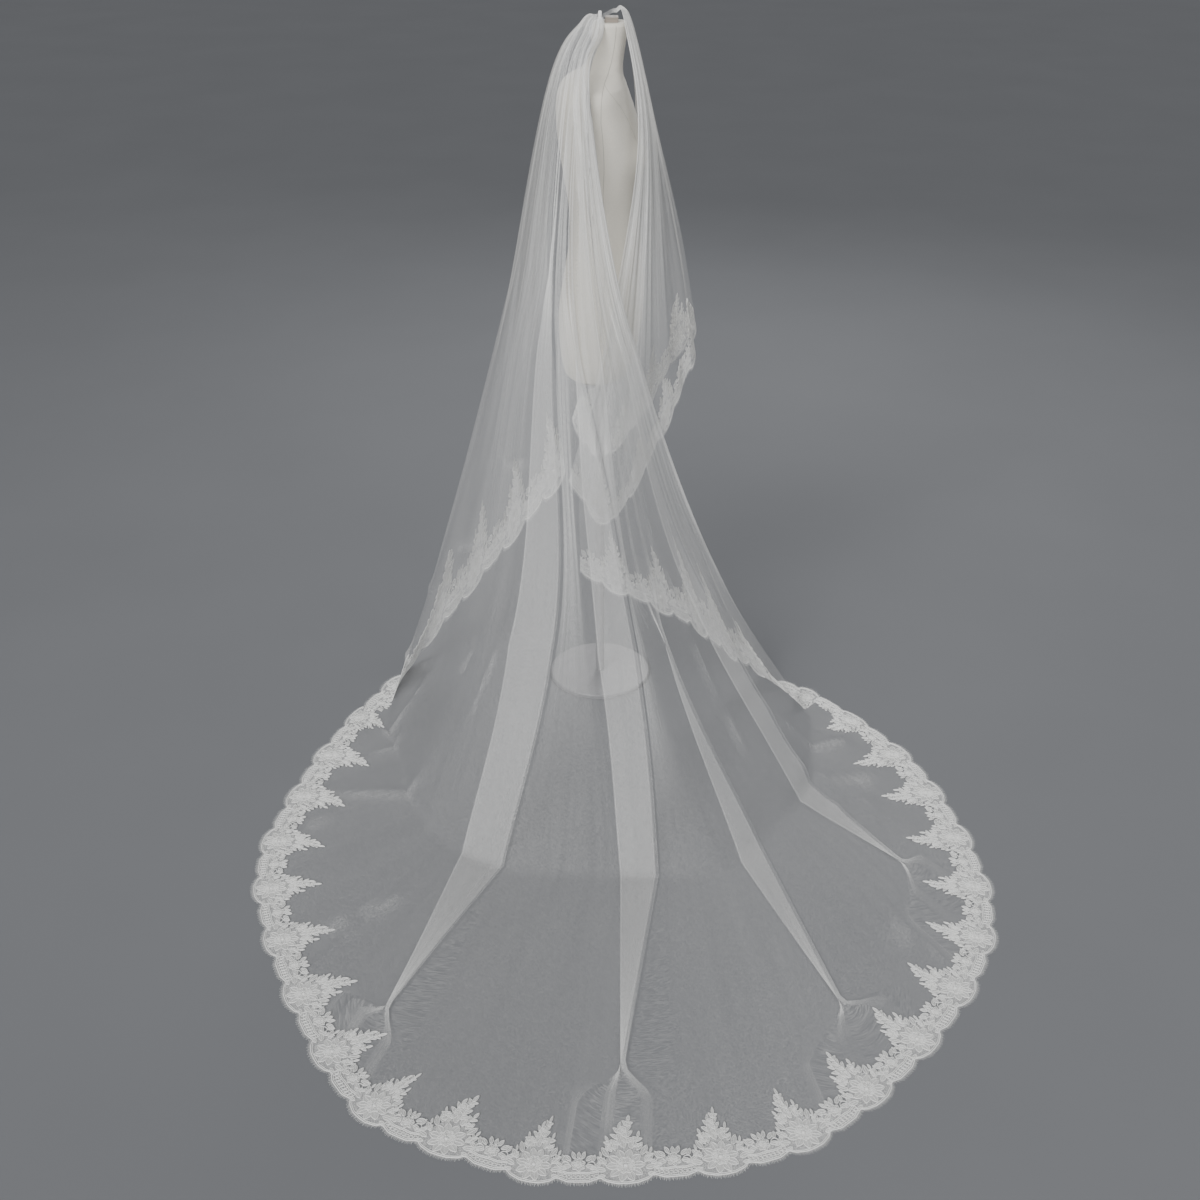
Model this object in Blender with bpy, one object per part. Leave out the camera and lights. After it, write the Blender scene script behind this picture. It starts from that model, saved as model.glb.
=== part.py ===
"""A bridal veil of two tiers, worn by a limbless dress form on a stand.

Metres, +Z up, the floor at z = 0 and the origin under the middle of the stand.
The form faces +X. The long tier hangs from a comb on the neck, falls as a tent over the
back and the near side (-Y) and spreads as a train on the floor. The short tier falls in front.
"""

import math

import bmesh
import bpy
import numpy as np
from mathutils.geometry import delaunay_2d_cdt

# Cloth
WALL = 0.0012
LACE = 0.0010
SEAM = 0.0003
FLOOR = WALL / 2

# Comb and its bound gathering strip, across the top of the neck
COMB_THICK = 0.0090
COMB_LENGTH = 0.0540
COMB_LOW = 1.8625
COMB_HIGH = 1.8830

# Dress form
NECK_BLOCK_X = (0.0120, 0.0440)
NECK_BLOCK_Y = 0.0200
NECK_BLOCK_HIGH = 1.8735
POLE_RADIUS = 0.0125
BASE_RADIUS = 0.1500
BASE_THICK = 0.0120
BASE_BEVEL = 0.0030

# Rings of the torso, from the bottom to the top of the neck, oval in plan
TORSO_RINGS = (
    # z, back x, front x, half width
    (0.987, -0.088, 0.062, 0.148),
    (0.995, -0.098, 0.075, 0.160),
    (1.030, -0.105, 0.092, 0.169),
    (1.080, -0.109, 0.104, 0.172),
    (1.150, -0.108, 0.113, 0.170),
    (1.240, -0.094, 0.113, 0.154),
    (1.340, -0.078, 0.106, 0.132),
    (1.420, -0.080, 0.102, 0.130),
    (1.500, -0.092, 0.104, 0.143),
    (1.560, -0.101, 0.105, 0.155),
    (1.620, -0.108, 0.098, 0.164),
    (1.670, -0.109, 0.083, 0.169),
    (1.700, -0.105, 0.072, 0.169),
    (1.722, -0.094, 0.064, 0.156),
    (1.738, -0.075, 0.058, 0.118),
    (1.752, -0.050, 0.056, 0.078),
    (1.775, -0.030, 0.057, 0.052),
    (1.810, -0.021, 0.062, 0.044),
    (1.855, -0.020, 0.068, 0.044),
    (1.862, -0.016, 0.064, 0.040),
)
TORSO_SIDES = 24
OVAL_POWER = 2.3
BUST_DEPTH = 0.020
BUST_Y = 0.075
BUST_Z = 1.555
BUST_SPREAD = 0.042

# Long tier: a row for each fall of the cloth, from its far free edge round the near side to
# the free edge that is folded under. Each falls from the comb over the neck, shoulder, hip
# and knee to the foot, where it meets the floor, and from there along the floor to the hem.
LONG_FALLS = (
    # neck, shoulder, hip, knee, foot, hem
    ((-0.030, 0.050, 1.850), (-0.097, 0.108, 1.740), (-0.140, 0.135, 1.15),
     (-0.118, 0.130, 0.82), (-0.100, 0.125, 0.590), (-0.100, 0.125, 0.590)),
    ((-0.040, 0.036, 1.857), (-0.118, 0.062, 1.722), (-0.208, 0.120, 1.15),
     (-0.250, 0.120, 0.66), (-0.272, 0.120, 0.368), (-0.272, 0.120, 0.368)),
    ((-0.044, 0.022, 1.860), (-0.125, 0.020, 1.712), (-0.245, 0.082, 1.15),
     (-0.362, 0.092, 0.52), (-0.430, 0.085, 0.175), (-0.430, 0.085, 0.175)),
    ((-0.045, 0.006, 1.861), (-0.127, -0.020, 1.710), (-0.254, 0.015, 1.15),
     (-0.450, 0.020, 0.45), (-0.575, 0.030, FLOOR), (-0.575, 0.030, FLOOR)),
    ((-0.044, -0.010, 1.861), (-0.123, -0.060, 1.708), (-0.240, -0.105, 1.15),
     (-0.445, -0.155, 0.45), (-0.615, -0.232, FLOOR), (-0.705, -0.190, FLOOR)),
    ((-0.042, -0.022, 1.860), (-0.114, -0.100, 1.706), (-0.215, -0.200, 1.15),
     (-0.385, -0.320, 0.45), (-0.565, -0.430, FLOOR), (-0.825, -0.560, FLOOR)),
    ((-0.038, -0.032, 1.858), (-0.100, -0.135, 1.706), (-0.175, -0.280, 1.15),
     (-0.300, -0.500, 0.45), (-0.470, -0.710, FLOOR), (-0.850, -1.000, FLOOR)),
    ((-0.033, -0.040, 1.856), (-0.084, -0.160, 1.707), (-0.130, -0.330, 1.15),
     (-0.175, -0.600, 0.45), (-0.300, -0.885, FLOOR), (-0.560, -1.610, FLOOR)),
    ((-0.027, -0.047, 1.853), (-0.068, -0.177, 1.709), (-0.100, -0.360, 1.15),
     (-0.060, -0.635, 0.45), (-0.100, -0.925, FLOOR), (-0.280, -1.793, FLOOR)),
    ((-0.022, -0.052, 1.850), (-0.056, -0.186, 1.711), (-0.060, -0.370, 1.15),
     (0.055, -0.630, 0.45), (0.093, -0.932, FLOOR), (0.020, -1.846, FLOOR)),
    ((-0.016, -0.055, 1.847), (-0.046, -0.191, 1.711), (0.000, -0.345, 1.15),
     (0.125, -0.590, 0.45), (0.320, -0.915, FLOOR), (0.490, -1.722, FLOOR)),
    ((-0.010, -0.058, 1.844), (-0.038, -0.194, 1.710), (0.052, -0.285, 1.13),
     (0.280, -0.340, 0.42), (0.545, -0.620, FLOOR), (0.930, -1.170, FLOOR)),
    ((-0.006, -0.060, 1.841), (-0.032, -0.195, 1.708), (0.078, -0.255, 1.12),
     (0.325, -0.215, 0.41), (0.600, -0.340, FLOOR), (0.905, -0.540, FLOOR)),
    ((-0.003, -0.061, 1.838), (-0.0285, -0.1975, 1.705), (0.088, -0.240, 1.12),
     (0.342, -0.152, 0.41), (0.600, -0.210, FLOOR), (0.660, -0.137, FLOOR)),
    ((0.000, -0.0620, 1.838), (-0.0225, -0.1935, 1.703), (0.089, -0.220, 1.12),
     (0.324, -0.099, 0.42), (0.488, -0.028, FLOOR), (0.488, -0.028, FLOOR)),
    ((0.002, -0.0625, 1.838), (-0.0250, -0.1885, 1.701), (0.072, -0.207, 1.12),
     (0.272, -0.117, 0.45), (0.388, -0.088, 0.105), (0.388, -0.088, 0.105)),
    ((0.004, -0.0620, 1.838), (-0.0280, -0.1865, 1.700), (0.049, -0.209, 1.12),
     (0.193, -0.163, 0.53), (0.257, -0.150, 0.250), (0.257, -0.150, 0.250)),
    ((0.005, -0.0615, 1.838), (-0.0305, -0.1855, 1.700), (0.020, -0.211, 1.12),
     (0.100, -0.198, 0.62), (0.126, -0.188, 0.345), (0.126, -0.188, 0.345)),
    ((0.006, -0.0610, 1.838), (-0.0325, -0.1845, 1.699), (-0.014, -0.211, 1.12),
     (0.012, -0.205, 0.67), (0.020, -0.202, 0.402), (0.020, -0.202, 0.402)),
    ((0.007, -0.0605, 1.838), (-0.0345, -0.1835, 1.698), (-0.046, -0.208, 1.12),
     (-0.056, -0.205, 0.72), (-0.055, -0.210, 0.450), (-0.055, -0.210, 0.450)),
)
LONG_COMB = (
    # fall, x, y
    (0, -0.0054, 0.0300),
    (9, -0.0054, -0.0240),
    (10, -0.0054, -0.0285),
    (11, -0.0049, -0.0325),
    (12, -0.0034, -0.0350),
    (13.5, -0.0010, -0.0360),
    (19, 0.0075, -0.0360),
)
LONG_COMB_Z = 1.8760

# The edge is in the air up to the left corner and from the right corner on. Between the two
# train ends the cloth lies on the floor deeper than the lace band is wide.
LEFT_CORNER = 3
RIGHT_CORNER = 14
TRAIN_ENDS = (4, 13)

# Where a fall's length parameter passes its named points
HEM, FOOT, KNEE, HIP, SHOULDER, NECK, TOP = range(7)

# Soft gathers of the long tier
GATHER_DEPTH = 0.0045
GATHERS_PER_FALL = (0.62, 1.03)

# Flat folds of three layers that run down the long tier. At each end a fold first shuts to
# no width and then opens out into a low ramp.
FOLD_RADIUS = 0.0018
FOLD_OPEN = 0.012
FOLDS = (
    # fall, open and shut heights below, shut and open heights above, heights, widths
    (7, (0.285, 0.335), (3.3, 3.6), (0.335, 1.0, 2.0, 2.55, 3.0, 3.3),
     (0.0, 0.112, 0.115, 0.085, 0.050, 0.0)),
    (9, (0.285, 0.335), (3.0, 3.3), (0.335, 1.0, 2.0, 2.55, 3.0), (0.0, 0.085, 0.100, 0.060, 0.0)),
    (10.25, (0.285, 0.335), (2.0, 2.3), (0.335, 1.0, 2.0), (0.0, 0.078, 0.0)),
    (11.05, (0.395, 0.480), (3.0, 3.3), (0.480, 1.0, 2.0, 2.55, 3.0),
     (0.0, 0.092, 0.080, 0.040, 0.0)),
)
FOLD_PLACES = np.array([1, 1, 1, -1, -1, -1, 1, 1]) / 2
FOLD_TURNS = np.array([0, 1, 0, 0, -1, 0, 5, 8])
FOLD_HEIGHTS = np.array([0, 1, 1.7, 2.3, 3, 4, 3.4, 0])
FOLD_RAMP = np.array([-3, -2, -1, 0, 1, 2, 3, 5]) / 6
FOLD_CORNERS = len(FOLD_PLACES)
FOLD_CLEAR = 0.30
FOLD_FLAT_STEP = 0.075

FALL_COLUMNS = 3
TRAIN_ROWS = (0.0, 0.20, 0.25, 0.30, 0.36, 0.45, 1.0)
LOW_ROWS = (0.0, 0.35, 0.7)
HIGH_ROWS = (2.0, 2.3, 2.55, 3.0, 3.3, 3.6, 4.0, 4.5, 5.0, 6.0)
LONG_EDGE = 0.040

# The long tier is one cut. Its solids part at these falls.
LONG_STRETCHES = (
    # name, first fall, last fall
    ("long_tier_back", 0, 4),
    ("long_tier_left", 4, 6),
    ("long_tier_middle", 6, 9.5),
    ("long_tier_right", 9.5, 13),
    ("long_tier_under", 13, 19),
)
TRAIN_STRETCHES = (
    ("train_left", 4, 6),
    ("train_middle", 6, 9.5),
    ("train_right", 9.5, 13),
)

# Short tier: a row for each fall, from the far free edge round the front to the near one
SHORT_FALLS = (
    # rim angle in degrees, chest, waist, hem
    (47, (0.092, 0.150, 1.60), (0.035, 0.198, 1.15), (-0.085, 0.190, 0.740)),
    (40, (0.106, 0.128, 1.60), (0.080, 0.196, 1.12), (-0.005, 0.192, 0.620)),
    (30, (0.119, 0.102, 1.61), (0.126, 0.180, 1.14), (0.105, 0.184, 0.730)),
    (20, (0.131, 0.070, 1.62), (0.172, 0.130, 1.24), (0.196, 0.136, 0.925)),
    (9, (0.136, 0.036, 1.62), (0.200, 0.070, 1.32), (0.246, 0.078, 1.030)),
    (0, (0.137, 0.000, 1.62), (0.206, 0.000, 1.34), (0.256, 0.000, 1.078)),
    (-9, (0.136, -0.036, 1.62), (0.200, -0.070, 1.30), (0.247, -0.078, 1.020)),
    (-20, (0.130, -0.074, 1.62), (0.170, -0.132, 1.22), (0.196, -0.134, 0.905)),
    (-30, (0.117, -0.108, 1.61), (0.118, -0.160, 1.12), (0.108, -0.165, 0.720)),
    (-40, (0.104, -0.130, 1.60), (0.066, -0.180, 1.10), (0.018, -0.174, 0.590)),
    (-47, (0.091, -0.149, 1.60), (0.010, -0.189, 1.10), (-0.088, -0.180, 0.715)),
)
SHORT_COMB_X = 0.0054
SHORT_COMB_Y = 0.0340
SHORT_COMB_Z = 1.8740
CREST_X = 0.0370
CREST_Z = 1.8870
NECK_X = 0.0240
RIM_REACH = 0.0500
RIM_Z = 1.8660
SHORT_WAVE_DEPTH = 0.0065
SHORT_WAVES_PER_FALL = 0.95
SHORT_COLUMNS = 5
SHORT_LOW_ROWS = (0.0, 0.5)
SHORT_HIGH_ROWS = (1.0, 1.5, 2.0, 2.5, 3.0, 3.33, 3.67, 4.0, 4.5, 5.0)
SHORT_STRETCHES = (
    # name, first fall, last fall
    ("short_tier_far", 0, 3),
    ("short_tier_front", 3, 7),
    ("short_tier_near", 7, 10),
)

# Lace border: repeats of a flower scallop and a ring scallop. Places run along the edge as
# shares of a repeat, depths run in from the edge in metres.
REPEAT = 0.1950
SCALLOPS = (
    # place, depth of the outer edge
    (0.00, 0.017),
    (0.06, 0.008),
    (0.17, 0.001),
    (0.27, 0.000),
    (0.37, 0.001),
    (0.48, 0.008),
    (0.54, 0.018),
    (0.66, 0.009),
    (0.88, 0.009),
)
CROWN = (
    # place, depth of the inner edge
    (0.03, 0.050),
    (0.13, 0.074),
    (0.20, 0.118),
    (0.25, 0.112),
    (0.29, 0.152),
    (0.35, 0.094),
    (0.50, 0.054),
    (0.66, 0.060),
    (0.86, 0.048),
)
BAND_DEPTH = 0.0850
LACE_DEEPEST = 0.1520
LACE_CLEAR = 0.0080
LACE_HOLES = (
    # place, depth, half length, half depth
    (0.17, 0.036, 0.0060, 0.0075),
    (0.37, 0.036, 0.0060, 0.0075),
    (0.65, 0.031, 0.0052, 0.0055),
    (0.77, 0.029, 0.0052, 0.0055),
    (0.89, 0.031, 0.0052, 0.0055),
)
LACE_RUNS = {
    # first fall, last fall, repeats
    "far_rise": (0, 4, 5),
    "train": (4, 13, 23),
    "under_rise": (13, 19, 6),
}
TRAIN_LACE = (5, 5, 5, 4, 4)

FABRIC_WHITE = (0.83, 0.83, 0.81, 1.0)
LACE_WHITE = (0.90, 0.90, 0.88, 1.0)
FORM_IVORY = (0.74, 0.70, 0.62, 1.0)
BLOCK_GREY = (0.42, 0.38, 0.33, 1.0)
STAND_WHITE = (0.72, 0.71, 0.69, 1.0)


def clear_scene():
    for thing in list(bpy.data.objects):
        bpy.data.objects.remove(thing, do_unlink=True)


def finish(name, colour, roughness, metallic=0.0):
    """The node's own material."""
    material = bpy.data.materials.new(name)
    material.use_nodes = True
    shader = material.node_tree.nodes["Principled BSDF"]
    shader.inputs["Base Color"].default_value = colour
    shader.inputs["Roughness"].default_value = roughness
    shader.inputs["Metallic"].default_value = metallic
    return material


def add_solid(name, vertices, faces, material, smooth=True):
    """One closed mesh object with its faces turned outwards."""
    mesh = bpy.data.meshes.new(name)
    mesh.from_pydata([tuple(map(float, v)) for v in vertices], [], faces)
    work = bmesh.new()
    work.from_mesh(mesh)
    bmesh.ops.recalc_face_normals(work, faces=work.faces)
    work.to_mesh(mesh)
    work.free()
    if smooth:
        mesh.shade_smooth()
        mesh.set_sharp_from_angle(angle=math.radians(40))
    mesh.materials.append(material)
    thing = bpy.data.objects.new(name, mesh)
    bpy.context.scene.collection.objects.link(thing)
    return thing


def unit(vectors):
    length = np.linalg.norm(vectors, axis=-1, keepdims=True)
    return vectors / np.maximum(length, 1e-12)


def curve_through(rows, place):
    """A smooth curve through rows of values, read at fractional row numbers."""
    last = len(rows) - 1
    first = np.clip(np.floor(place).astype(int), 0, last - 1)
    share = (place - first)[..., None]
    start = rows[first]
    end = rows[first + 1]
    before = np.where((first > 0)[..., None], rows[np.maximum(first - 1, 0)], 2 * start - end)
    after = np.where(
        (first + 2 <= last)[..., None], rows[np.minimum(first + 2, last)], 2 * end - start
    )
    return hermite(start, end, (end - before) / 2, (after - start) / 2, share)


def hermite(start, end, leave, arrive, share):
    square = share * share
    cube = square * share
    return (
        start * (2 * cube - 3 * square + 1)
        + leave * (cube - 2 * square + share)
        + end * (3 * square - 2 * cube)
        + arrive * (cube - square)
    )


def long_keys(fall):
    """The named points of a fall of the long tier, from the hem up to the comb."""
    table = np.array(LONG_FALLS)[:, ::-1, :]
    keys = curve_through(table.reshape(len(table), -1), fall)
    keys = keys.reshape(fall.shape + (6, 3))
    falls, comb_x, comb_y = np.array(LONG_COMB).T
    comb = np.empty(fall.shape + (1, 3))
    comb[..., 0, 0] = np.interp(fall, falls, comb_x)
    comb[..., 0, 1] = np.interp(fall, falls, comb_y)
    comb[..., 0, 2] = LONG_COMB_Z
    keys = np.concatenate([keys, comb], axis=-2)
    in_air = (fall <= LEFT_CORNER) | (fall >= RIGHT_CORNER)
    keys[..., HEM, :] = np.where(in_air[..., None], keys[..., FOOT, :], keys[..., HEM, :])
    keys[..., 2] = np.maximum(keys[..., 2], FLOOR)
    return keys


def pick(keys, number):
    return np.take_along_axis(keys, number[..., None, None], axis=-2)[..., 0, :]


def along_fall(keys, height):
    """The point of each fall at a height between 0, its hem, and 6, its comb."""
    last = keys.shape[-2] - 1
    first = np.clip(np.floor(height).astype(int), 0, last - 1)
    share = (height - first)[..., None]
    start = pick(keys, first)
    end = pick(keys, first + 1)
    before = pick(keys, np.maximum(first - 1, 0))
    after = pick(keys, np.minimum(first + 2, last))
    step = np.linalg.norm(end - start, axis=-1, keepdims=True)
    leave = np.where((first <= HIP)[..., None], unit(start - before) * step, (end - before) / 2)
    leave = np.where((first <= FOOT)[..., None], end - start, leave)
    arrive = np.where((first == last - 1)[..., None], end - start, (after - start) / 2)
    arrive = np.where((first < HIP)[..., None], unit(after - start) * step, arrive)
    curved = hermite(start, end, leave, arrive, share)
    point = np.where((first < FOOT)[..., None], start + (end - start) * share, curved)
    point[..., 2] = np.maximum(point[..., 2], FLOOR)
    return point


def long_base(fall, height):
    """The long tier without its gathers and flat folds."""
    return along_fall(long_keys(fall), height)


def normal_of(surface, fall, height, fall_step=0.02, height_step=0.02):
    """The outward direction of a surface of falls and heights."""
    across = surface(fall + fall_step, height) - surface(fall - fall_step, height)
    low = np.maximum(height - height_step, 0)
    up = surface(fall, height + height_step) - surface(fall, low)
    return unit(np.cross(across, up))


def bump(value, low, full_low, full_high, high):
    """0 outside low to high and 1 from full_low to full_high."""
    rise = np.clip((value - low) / (full_low - low), 0, 1)
    drop = np.clip((high - value) / (high - full_high), 0, 1)
    share = np.minimum(rise, drop)
    return share * share * (3 - 2 * share)


def gather_offset(fall, height):
    """Soft gathers: none at the comb, deepest from shoulder to hip, gone at the floor."""
    first, second = GATHERS_PER_FALL
    wave = 0.62 * np.sin(2 * math.pi * first * fall) + 0.38 * np.sin(
        2 * math.pi * second * fall + 1.1
    )
    depth = GATHER_DEPTH * bump(height, 1.2, 2.6, 3.7, 5.6)
    return depth * wave * bump(fall, -0.6, 0.8, 9.5, 11.5)


def long_surface(fall, height):
    """The long tier with its gathers."""
    out = normal_of(long_base, fall, height)
    point = long_base(fall, height) + out * gather_offset(fall, height)[..., None]
    point[..., 2] = np.maximum(point[..., 2], FLOOR)
    return point


def fold_speed(fall, level):
    """Length across the cloth for each fall, at a fall and a height."""
    step = 0.05
    here, level = np.array(float(fall)), np.array(float(level))
    reach = long_base(here + step, level) - long_base(here - step, level)
    return float(np.linalg.norm(reach)) / (2 * step)


def fold_state(fold, level_of):
    """A flat fold on one row: its level, the places across of its corners in metres, their
    heights, length for each fall, and half its width in falls. It has no places when flat."""
    fall, below, above, heights, widths = fold
    level = float(level_of(np.array(float(fall))))
    near = 0.012
    if level < below[0] - near or level > above[1] + near:
        return level, None, None, 1.0, FOLD_CLEAR
    width = float(np.interp(level, heights, widths))
    if min(abs(level - below[1]), abs(level - above[0])) < near:
        width = 0.0
    speed = fold_speed(fall, level)
    across = FOLD_PLACES * width + FOLD_TURNS * FOLD_RADIUS
    if width == 0:
        across[:6] *= 0.3
    if level < below[1] - near or level > above[0] + near:
        across = FOLD_RAMP * FOLD_OPEN
    half = max(FOLD_CLEAR, (width / 2 + 9.5 * FOLD_RADIUS) / speed)
    return level, across, FOLD_HEIGHTS * FOLD_RADIUS, speed, half


def fold_points(fold, state):
    """The corners of a fold, in straight layers over the chord that it covers."""
    fall = fold[0]
    level, across, heights, speed, _ = state
    if across is None:
        falls = fall + FOLD_FLAT_STEP * (np.arange(FOLD_CORNERS) - (FOLD_CORNERS - 1) / 2)
        return long_surface(falls, np.full(FOLD_CORNERS, level))
    ends = np.array([across.min(), across.max()])
    start, end = long_surface(fall + ends / speed, np.full(2, level))
    out = normal_of(long_base, np.array(float(fall)), np.array(level))
    share = (across - ends[0]) / (ends[1] - ends[0])
    along = unit(end - start)
    out = unit(out - along * np.dot(out, along))
    point = start + (end - start) * share[:, None] + out * heights[:, None]
    point[..., 2] = np.maximum(point[..., 2], FLOOR)
    return point


def long_columns():
    """All columns of the long tier as (fall, fold number or None, corner of the fold)."""
    count = (len(LONG_FALLS) - 1) * FALL_COLUMNS * 2
    columns = []
    ends = [end for _, first, last in LONG_STRETCHES for end in (first, last)]
    for i in range(count + 1):
        fall = i / (2 * FALL_COLUMNS)
        wanted = i % 2 == 0 or any(abs(fall - end) < 1e-6 for end in ends)
        if wanted and all(abs(fall - fold[0]) >= FOLD_CLEAR for fold in FOLDS):
            columns.append((fall, None, 0))
    for number, fold in enumerate(FOLDS):
        columns += [(fold[0] + 0.001 * i, number, i) for i in range(FOLD_CORNERS)]
    return sorted(columns, key=lambda column: column[0])


def long_row(columns, level_of):
    """The points of one row. Plain columns move aside where a flat fold is wide."""
    states = [fold_state(fold, level_of) for fold in FOLDS]
    folded = [fold_points(fold, state) for fold, state in zip(FOLDS, states)]
    plain = [0.0, *map(float, TRAIN_ENDS), float(len(LONG_FALLS) - 1)]
    moved = list(plain)
    for fold, state in zip(FOLDS, states):
        plain += [fold[0] - FOLD_CLEAR, fold[0] + FOLD_CLEAR]
        moved += [fold[0] - state[4], fold[0] + state[4]]
    falls = np.array([column[0] for column in columns])
    falls = np.interp(falls, sorted(plain), sorted(moved))
    points = long_surface(falls, level_of(falls))
    for k, (_, number, corner) in enumerate(columns):
        if number is not None:
            points[k] = folded[number][corner]
    return points


def surface_normals(points):
    """Normals of a grid of points, halving the angle at each corner."""
    across = unit(np.diff(points, axis=1))
    across = np.concatenate([across[:, :1], across, across[:, -1:]], axis=1)
    across = unit(across[:, 1:] + across[:, :-1])
    up = unit(np.diff(points, axis=0))
    up = np.concatenate([up[:1], up, up[-1:]], axis=0)
    up = unit(up[1:] + up[:-1])
    return unit(np.cross(across, up))


def pull_in(points, gap):
    """The grid with its four borders drawn in by half a seam."""
    points = points.copy()
    for axis in (0, 1):
        view = np.moveaxis(points, axis, 0)
        view[0] += unit(view[1] - view[0]) * gap / 2
        view[-1] += unit(view[-2] - view[-1]) * gap / 2
    return points


def grid_wall(name, points, normals, thick, material, turned=()):
    """A closed wall about a grid of points. Walls that meet have like diagonals at the seam,
    and so have the layers of a fold, whose turned columns take the other diagonal."""
    rows, columns = points.shape[:2]
    drawn = pull_in(points, SEAM)
    outer = drawn + normals * thick / 2
    inner = drawn - normals * thick / 2
    vertices = np.concatenate([outer.reshape(-1, 3), inner.reshape(-1, 3)])
    below = rows * columns
    faces = []
    for j in range(rows - 1):
        for k in range(columns - 1):
            a = j * columns + k
            b, c, d = a + 1, a + columns + 1, a + columns
            halves = [(a, b, d), (b, c, d)] if k in turned else [(a, b, c), (a, c, d)]
            for half in halves:
                faces += [half, tuple(below + corner for corner in half[::-1])]
    start = list(range(columns))
    start += [j * columns + columns - 1 for j in range(1, rows)]
    back = [(rows - 1) * columns + k for k in range(columns - 1, -1, -1)]
    back += [j * columns for j in range(rows - 2, -1, -1)]
    for a, b in zip(start, start[1:]):
        faces += [(a, below + a, below + b), (a, below + b, b)]
    for a, b in zip(back, back[1:]):
        faces += [(a, below + a, b), (below + a, below + b, b)]
    return add_solid(name, vertices, faces, material)


def runs_of(keys):
    """Length of each fall on the floor, and from there to the knee."""
    floor_run = np.linalg.norm(keys[..., FOOT, :] - keys[..., HEM, :], axis=-1)
    rise_run = np.linalg.norm(keys[..., KNEE, :] - keys[..., FOOT, :], axis=-1)
    return floor_run, rise_run


def level_at(fall, distance):
    """The height that lies at a distance up a fall from the hem."""
    floor_run, rise_run = runs_of(long_keys(fall))
    on_floor = distance / np.maximum(floor_run, 1e-6)
    above = FOOT + (distance - floor_run) / rise_run
    return np.where(distance < floor_run, on_floor, above)


def band_depth(fall):
    """Length of a fall that the lace band takes, where the edge runs aslant to the falls."""
    step = 0.02
    low = np.clip(fall - step, 0, len(LONG_FALLS) - 1)
    high = np.clip(fall + step, 0, len(LONG_FALLS) - 1)
    along = unit(long_keys(high)[..., HEM, :] - long_keys(low)[..., HEM, :])
    near = long_base(fall, level_at(fall, np.full_like(fall, 0.02, dtype=float)))
    up = unit(near - long_keys(fall)[..., HEM, :])
    aslant = np.sum(up * along, axis=-1)
    return BAND_DEPTH / np.maximum(np.sqrt(np.maximum(1 - aslant * aslant, 0)), 0.35)


def low_level(fall):
    """The foot of each fall, or the top of the lace band where that is higher."""
    fall = np.asarray(fall, dtype=float)
    in_band = (fall <= TRAIN_ENDS[0]) | (fall >= TRAIN_ENDS[1])
    level = np.maximum(level_at(fall, band_depth(fall)), FOOT)
    return np.where(in_band, level, FOOT)


def train_level(share):
    """Each fall's height at a share of the way from the edge under the lace to the foot."""

    def level(fall):
        low = np.minimum(LONG_EDGE / np.maximum(runs_of(long_keys(fall))[0], 1e-6), 1)
        return low * (1 - share) + share

    return level


def low_row_level(share):
    return lambda fall: low_level(fall) * (1 - share) + KNEE * share


def high_row_level(height):
    return lambda fall: np.full_like(np.asarray(fall, dtype=float), height)


def build_long_tier():
    tulle = finish("tulle_long_tier", FABRIC_WHITE, 0.55)
    columns = long_columns()
    levels = [train_level(share) for share in TRAIN_ROWS[:-1]]
    foot_row = len(levels)
    levels += [low_row_level(share) for share in LOW_ROWS]
    levels += [high_row_level(height) for height in HIGH_ROWS]
    points = np.array([long_row(columns, level_of) for level_of in levels])
    normals = surface_normals(points)
    falls = [column[0] for column in columns]
    for name, first, last in LONG_STRETCHES:
        start, end = find(falls, first), find(falls, last) + 1
        turned = [k - start for k in range(start, end) if columns[k][2] == 2]
        block = points[foot_row:, start:end], normals[foot_row:, start:end]
        grid_wall(name, *block, WALL, tulle, turned)
    for name, first, last in TRAIN_STRETCHES:
        start, end = find(falls, first), find(falls, last) + 1
        turned = [k - start for k in range(start, end) if columns[k][2] == 2]
        block = points[: foot_row + 1, start:end], normals[: foot_row + 1, start:end]
        grid_wall(name, *block, WALL, tulle, turned)


def find(falls, wanted):
    return min(range(len(falls)), key=lambda i: abs(falls[i] - wanted))


def short_keys(fall):
    """The named points of a fall of the short tier, from the hem up to the comb."""
    table = np.array([[angle, *chest, *waist, *hem] for angle, chest, waist, hem in SHORT_FALLS])
    row = curve_through(table, fall)
    angle = np.radians(row[..., 0])
    keys = np.zeros(fall.shape + (6, 3))
    keys[..., 0, :] = row[..., 7:10]
    keys[..., 1, :] = row[..., 4:7]
    keys[..., 2, :] = row[..., 1:4]
    keys[..., 3, 0] = NECK_X + RIM_REACH * np.cos(angle)
    keys[..., 3, 1] = RIM_REACH * np.sin(angle)
    keys[..., 3, 2] = RIM_Z
    side = 1 - 2 * fall / (len(SHORT_FALLS) - 1)
    keys[..., 4, 0] = CREST_X
    keys[..., 4, 1] = SHORT_COMB_Y * side
    keys[..., 4, 2] = CREST_Z
    keys[..., 5, 0] = SHORT_COMB_X
    keys[..., 5, 1] = SHORT_COMB_Y * side
    keys[..., 5, 2] = SHORT_COMB_Z
    return keys


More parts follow.
